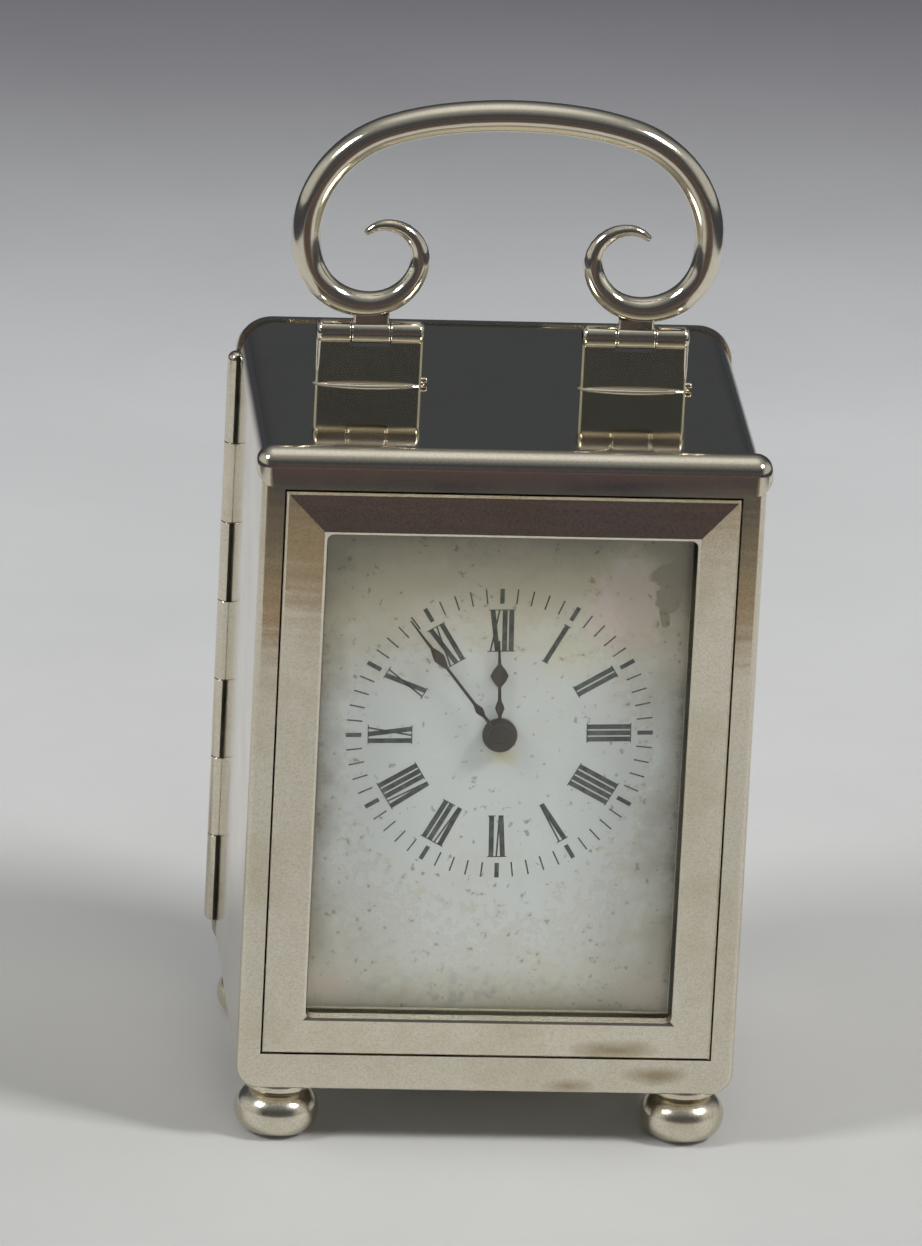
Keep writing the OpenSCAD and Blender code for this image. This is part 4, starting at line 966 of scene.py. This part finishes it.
def buildNumerals():
    bm = bmesh.new()
    low, high = marksLook["numeralInner"], marksLook["numeralOuter"]
    stem, hair, advance = marksLook["stem"], marksLook["hair"], marksLook["advance"]
    hairSerif = hair + marksLook["hairSerif"]
    for hour, numeral in enumerate(marksLook["hours"]):
        place = markPlace(hour * 30)
        x = -sum(advance[c] for c in numeral) / 2
        for letter in numeral:
            wide = advance[letter]
            left, right, mid = x + marksLook["side"], x + wide - marksLook["side"], x + wide / 2
            if letter == "I":
                addStroke(bm, place, (mid, low), (mid, high), stem)
                feet = [(mid, low, stem), (mid, high, stem)]
            elif letter == "V":
                addStroke(bm, place, (mid, low), (left + stem / 2, high), stem)
                addStroke(bm, place, (mid + stem * 0.3, low), (right - hair / 2, high), hair)
                feet = [(left + stem / 2, high, stem), (right - hair / 2, high, hairSerif)]
            else:
                addStroke(bm, place, (right - stem / 2, low), (left + stem / 2, high), stem)
                addStroke(bm, place, (left + hair / 2, low), (right - hair / 2, high), hair)
                feet = [
                    (right - stem / 2, low, stem),
                    (left + stem / 2, high, stem),
                    (left + hair / 2, low, hairSerif),
                    (right - hair / 2, high, hairSerif),
                ]
            for centre, level, width in feet:
                inward = marksLook["serif"] if level == low else -marksLook["serif"]
                reach = width + 2 * marksLook["serifReach"]
                addStroke(bm, place, (centre, level), (centre, level + inward), reach)
            x += wide
    return finishMarks(bm, "hourNumerals")


def finishMarks(bm, name):
    bmesh.ops.recalc_face_normals(bm, faces=bm.faces)
    for face in bm.faces:
        face.normal_update()
        if face.normal.y > 0:
            face.normal_flip()
    made = bmesh.ops.extrude_face_region(bm, geom=bm.faces[:])
    moved = [g for g in made["geom"] if isinstance(g, bmesh.types.BMVert)]
    bmesh.ops.translate(bm, verts=moved, vec=(0, -marksLook["thick"], 0))
    return finishPiece(bm, name, "case", blackMarks, (), sharp=20, even=False)


handsLook = {
    # turn in degrees from the top. In millimetres: the boss's radius, the hand's length, half its stem,
    # where it swells, where its leaf starts, is widest and ends, and half the leaf's width
    "minute": {
        "turn": -38,
        "boss": 1.55,
        "length": 15.4,
        "stem": 0.2,
        "swell": 3.6,
        "leaf": (9.2, 10.5, 11.8),
        "half": 0.58,
    },
    "hour": {
        "turn": -3,
        "boss": 1.75,
        "length": 10.0,
        "stem": 0.22,
        "swell": 2.9,
        "leaf": (5.1, 6.3, 7.5),
        "half": 0.9,
    },
    "thick": 0.2,
    "soften": 0.05,
    "bossRound": 0.08,
}


def buildHand(name, node, body, look):
    low, high = boxMm(node)
    bm = bmesh.new()
    stem, swell, leaf = look["stem"], look["swell"], look["leaf"]
    half = [
        (stem, 0.0),
        (stem * 0.8, swell - 0.8),
        (stem * 1.7, swell - 0.3),
        (stem * 2.1, swell),
        (stem * 1.7, swell + 0.3),
        (stem * 0.8, swell + 0.8),
        (stem * 0.7, leaf[0]),
        (look["half"] * 0.72, leaf[1] - (leaf[1] - leaf[0]) * 0.45),
        (look["half"], leaf[1]),
        (look["half"] * 0.72, leaf[1] + (leaf[2] - leaf[1]) * 0.45),
        (stem * 0.75, leaf[2]),
        (0.07, look["length"]),
    ]
    outline = half + [(-x, y) for x, y in reversed(half)]
    stand = Matrix.Rotation(math.radians(90), 4, "X")
    place = Matrix.Translation((dialCentre.x, low.y + 0.25, dialCentre.z)) @ stand
    place = place @ Matrix.Rotation(-math.radians(look["turn"]), 4, "Z")
    verts = [bm.verts.new(place @ Vector((x, y, 0))) for x, y in outline]
    bm.faces.new(verts)
    made = bmesh.ops.extrude_face_region(bm, geom=bm.faces[:])
    moved = [g for g in made["geom"] if isinstance(g, bmesh.types.BMVert)]
    bmesh.ops.translate(bm, verts=moved, vec=(0, -handsLook["thick"], 0))
    bm.normal_update()
    rim = [e for e in bm.edges if any(abs(f.normal.y) > 0.99 for f in e.link_faces) and not along(e, 1)]
    roundEdges(bm, rim, handsLook["soften"], 2)
    boss = [(dialCentre.x, level, dialCentre.z) for level in (high.y, low.y)]
    addBar(bm, boss[0], boss[1], look["boss"], handsLook["bossRound"], 48)
    return finishPiece(bm, name, body, oldBluedSteel, (node,), sharp=35)


buildCase()
buildRim()
buildBezel()
buildBail()
buildBracket(-1)
buildBracket(1)
for node, name in (
    ("foot_front_left", "footFrontLeft"),
    ("foot_front_right", "footFrontRight"),
    ("foot_rear_left", "footRearLeft"),
    ("foot_rear_right", "footRearRight"),
):
    buildFoot(node, name)
buildDoor()
buildHingeLeaf()
buildCatch()
buildTicks()
buildNumerals()
buildHand("minuteHand", "minute_hand", "centre", handsLook["minute"])
buildHand("hourHand", "hour_hand", "hour_work", handsLook["hour"])
print("pieces built")


nodeMaterials = {
    "glass_pane": glass,
    "glass_retainer": silverInside,
    "dial_plate": enamel,
    "platform_plate": nickelSilver,
    "hand_washer": oldBluedSteel,
    "centre_arbor": oldBluedSteel,
    "barrel": turnedBrass,
    "barrel_cap": turnedBrass,
    "pillars": turnedBrass,
    "dial_posts": turnedBrass,
    "balance_wheel": turnedBrass,
}
bluedNodes = ("pillar_screws", "platform_screws", "click_screw", "click_spring", "mainspring", "hairspring")
slots = {s["node"]: s["material_slot"] for s in frame["record"]["subparts"]}
slotMaterials = {
    "brass": giltBrass,
    "steel": polishedSteel,
    "silver": silverInside,
    "hand_steel": oldBluedSteel,
}
nodeMaterials.update({name: bluedSteel for name in bluedNodes})
for name, node in frame["nodes"].items():
    material = nodeMaterials.get(name) or slotMaterials.get(slots[name])
    node.data.materials.clear()
    node.data.materials.append(material or silverInside)


floorLook = {
    "stops": [
        (0.0, "#b9b9b7"),
        (0.22, "#bfbfbd"),
        (0.4, "#cccccc"),
        (0.6, "#c9cacb"),
        (0.7, "#b9babc"),
        (0.78, "#a3a4a6"),
        (0.85, "#8d8c91"),
        (0.92, "#78777c"),
        (1.0, "#68676e"),
    ],
    "fadeY": (-0.12, 0.42),
    "mottleMm": 60.0,
}


def buildFloor():
    # painted board, pale and faintly smudged, going grey behind the clock
    bm = bmesh.new()
    bmesh.ops.create_grid(bm, x_segments=1, y_segments=1, size=4.0)
    floor = meshObject(bm, "floor")
    material, tree, output, place = newMaterial("paintedBoard")
    parts = addNode(tree, "SeparateXYZ", {}, {0: place})
    mottle = addNode(
        tree, "TexNoise", {"Scale": metre / floorLook["mottleMm"], "Detail": 6.0, "Roughness": 0.6},
        {"Vector": place},
    )
    fade = addNode(tree, "MapRange", {"range": floorLook["fadeY"]}, {"Value": parts.outputs[1]})
    tone = addNode(tree, "ValToRGB", {"stops": floorLook["stops"]}, {0: fade})
    smudge = addNode(
        tree, "MapRange", {"range": (0.3, 0.7, 0.95, 1.03)}, {"Value": mottle.outputs["Fac"]}
    )
    colour = addNode(tree, "VectorMath", {"operation": "SCALE"}, {0: tone, "Scale": smudge})
    shader = addNode(
        tree, "BsdfPrincipled", {"Roughness": 0.55, "Specular IOR Level": 0.25}, {"Base Color": colour}
    )
    tree.links.new(shader.outputs[0], output.inputs[0])
    floor.data.materials.append(material)


# colours of the glowing sheet: painted reflections, not lit surfaces
tableLook = {
    "paperMiddle": (0.0, 0.1),
    "paperReach": (0.24, 0.36),
    "cardMiddle": (0.005, -0.4),
    "cardReach": (0.214, 0.238),
    "dark": "#42444b",
    "stops": [
        (0.0, "#6b5a57"),
        (0.68, "#56494a"),
        (0.72, "#393b41"),
        (0.78, "#393b41"),
        (0.8, "#6c6a64"),
        (0.875, "#6c6a64"),
        (0.895, "#97866f"),
    ],
}


def buildTable():
    # a glowing sheet that only reflections see: painted reflections of a dark table round the paper and of a
    # brown card before the clock
    bm = bmesh.new()
    bmesh.ops.create_circle(bm, cap_ends=True, segments=64, radius=4.0)
    bmesh.ops.translate(bm, vec=(0, 0, 0.001), verts=bm.verts)
    reflectionSheet = meshObject(bm, "reflectionSheet")
    material, tree, output, place = newMaterial("paintedReflectionGlow")

    def reach(middle, size, power):
        # 1 on the outline, less inside it
        moved = addNode(
            tree,
            "Mapping",
            {
                "Location": (-middle[0] / size[0], -middle[1] / size[1], 0),
                "Scale": (1 / size[0], 1 / size[1], 0),
            },
            {"Vector": place},
        )
        size = addNode(tree, "VectorMath", {"operation": "ABSOLUTE"}, {0: moved})
        parts = addNode(tree, "SeparateXYZ", {}, {0: size})
        wide = addNode(tree, "Math", {"operation": "POWER", 1: power}, {0: parts})
        deep = addNode(tree, "Math", {"operation": "POWER", 1: power}, {0: parts.outputs[1]})
        both = addNode(tree, "Math", {"operation": "ADD"}, {0: wide, 1: deep})
        return addNode(tree, "Math", {"operation": "POWER", 1: 1 / power}, {0: both})

    paper = reach(tableLook["paperMiddle"], tableLook["paperReach"], 4.0)
    card = reach(tableLook["cardMiddle"], tableLook["cardReach"], 2.0)
    onCard = addNode(tree, "Math", {"operation": "LESS_THAN", 1: 1.0}, {0: card})
    offPaper = addNode(tree, "MapRange", {"range": (0.97, 1.03)}, {"Value": paper})
    seen = addNode(tree, "Math", {"operation": "MAXIMUM"}, {0: onCard, 1: offPaper})
    colour = addNode(tree, "ValToRGB", {"stops": tableLook["stops"]}, {0: card})
    tone = addNode(
        tree, "Mix", {"data_type": "RGBA", 6: linear(tableLook["dark"])}, {0: onCard, 7: colour}
    )
    glow = addNode(tree, "Emission", {"Strength": 1.0}, {"Color": tone.outputs[2]})
    clear = addNode(tree, "BsdfTransparent")
    shader = addNode(tree, "MixShader", {}, {0: seen, 1: clear, 2: glow})
    tree.links.new(shader.outputs[0], output.inputs[0])
    reflectionSheet.data.materials.append(material)
    reflectionSheet.visible_camera = False
    reflectionSheet.visible_diffuse = False
    reflectionSheet.visible_shadow = False
    reflectionSheet.visible_transmission = False


lampsLook = {
    # place, what the lamp faces, and its width and height, all in metres, then its watts
    "lampRight": ((0.8, -0.42, 0.9), (0, 0, 0.02), (0.26, 0.26), 10.4),
    "lampLeft": ((-0.85, -0.4, 0.85), (0, 0, 0.02), (0.26, 0.26), 6.9),
    "lampFill": ((0.2, -1.7, 0.5), (0, 0, 0.03), (0.5, 0.5), 4.0),
}
lampColour = "#fefeff"


def addSoftbox(name, place, aim, size, watts):
    light = bpy.data.lights.new(name, "AREA")
    light.shape = "RECTANGLE"
    light.size, light.size_y = size
    light.energy = watts
    light.color = linear(lampColour)[:3]
    box = addObject(name, light)
    box.location = place
    box.rotation_euler = (Vector(aim) - Vector(place)).to_track_quat("-Z", "Y").to_euler()
    return box


worldLook = {
    "stops": [
        (0.0, "#3b3f42"),
        (0.2, "#45484c"),
        (0.45, "#474c50"),
        (0.68, "#747473"),
        (0.88, "#a2a2a0"),
        (1.0, "#f0f0ee"),
    ],
    "side": "#bfbfbc",
    "sideFrom": (0.66, 0.9),
    "smear": "#83655f",
    "smearFlat": (3.0, 3.0, 120.0),
    "smearScale": 1.6,
    "smearAhead": (-0.6, -0.85),
    "smearBelow": (0.26, 0.12),
}


def buildWorld():
    # dim studio with a pale ceiling and pale sides: slate walls, with brown and pink smears at eye level
    world = bpy.data.worlds.new("studio")
    bpy.context.scene.world = world
    world.use_nodes = True
    tree = world.node_tree
    tree.nodes.clear()
    place = addNode(tree, "TexCoord")
    parts = addNode(tree, "SeparateXYZ", {}, {0: place.outputs["Generated"]})
    tone = addNode(tree, "ValToRGB", {"stops": worldLook["stops"]}, {0: parts.outputs[2]})
    moved = addNode(
        tree, "Mapping", {"Scale": worldLook["smearFlat"]}, {"Vector": place.outputs["Generated"]}
    )
    smear = addNode(
        tree, "TexNoise", {"Scale": worldLook["smearScale"], "Detail": 3.0, "Distortion": 0.6},
        {"Vector": moved},
    )
    smearMask = addNode(tree, "ValToRGB", {"stops": [(0.5, 0.0), (0.62, 0.9)]}, {0: smear.outputs["Fac"]})
    wide = addNode(tree, "Math", {"operation": "ABSOLUTE"}, {0: parts})
    ahead = addNode(tree, "MapRange", {"range": worldLook["smearAhead"]}, {"Value": parts.outputs[1]})
    amount = addNode(tree, "Math", {"operation": "MULTIPLY"}, {0: smearMask, 1: ahead})
    lowWall = addNode(tree, "MapRange", {"range": worldLook["smearBelow"]}, {"Value": parts.outputs[2]})
    amount = addNode(tree, "Math", {"operation": "MULTIPLY"}, {0: amount, 1: lowWall})
    colour = addNode(
        tree, "Mix", {"data_type": "RGBA", 7: linear(worldLook["smear"])}, {0: amount, 6: tone}
    )
    sides = addNode(tree, "MapRange", {"range": worldLook["sideFrom"]}, {"Value": wide})
    colour = addNode(
        tree, "Mix", {"data_type": "RGBA", 7: linear(worldLook["side"])}, {0: sides, 6: colour.outputs[2]}
    )
    sky = addNode(tree, "Background", {"Strength": 1.0}, {"Color": colour.outputs[2]})
    addNode(tree, "OutputWorld", {}, {0: sky})


cameraLook = {
    "place": (-107.05, -1142.7, 462.2),
    "target": (-4.44, -20.7, 56.1),
    "roll": 2.87,
    "lens": 350.0,
    "sensor": 36.0,
}


def buildCamera():
    data = bpy.data.cameras.new("camera")
    data.lens = cameraLook["lens"]
    data.sensor_width = cameraLook["sensor"]
    data.clip_start = 0.05
    data.clip_end = 20.0
    camera = addObject("camera", data)
    place = Vector(cameraLook["place"]) / metre
    ahead = (Vector(cameraLook["target"]) / metre - place).normalized()
    level = ahead.cross(Vector((0, 0, 1))).normalized()
    upright = level.cross(ahead)
    roll = math.radians(cameraLook["roll"])
    right = level * math.cos(roll) + upright * math.sin(roll)
    up = right.cross(ahead)
    turn = Matrix((right, up, -ahead)).transposed().to_4x4()
    camera.matrix_world = Matrix.Translation(place) @ turn
    bpy.context.scene.camera = camera


buildFloor()
buildTable()
buildWorld()
lamps = {name: addSoftbox(name, *look) for name, look in lampsLook.items()}
lamps["lampFill"].visible_glossy = False  # it only lifts the shade, and the silver doesn't mirror it
buildCamera()
bpy.context.scene.view_settings.view_transform = "Standard"
print("stage, light and camera set")
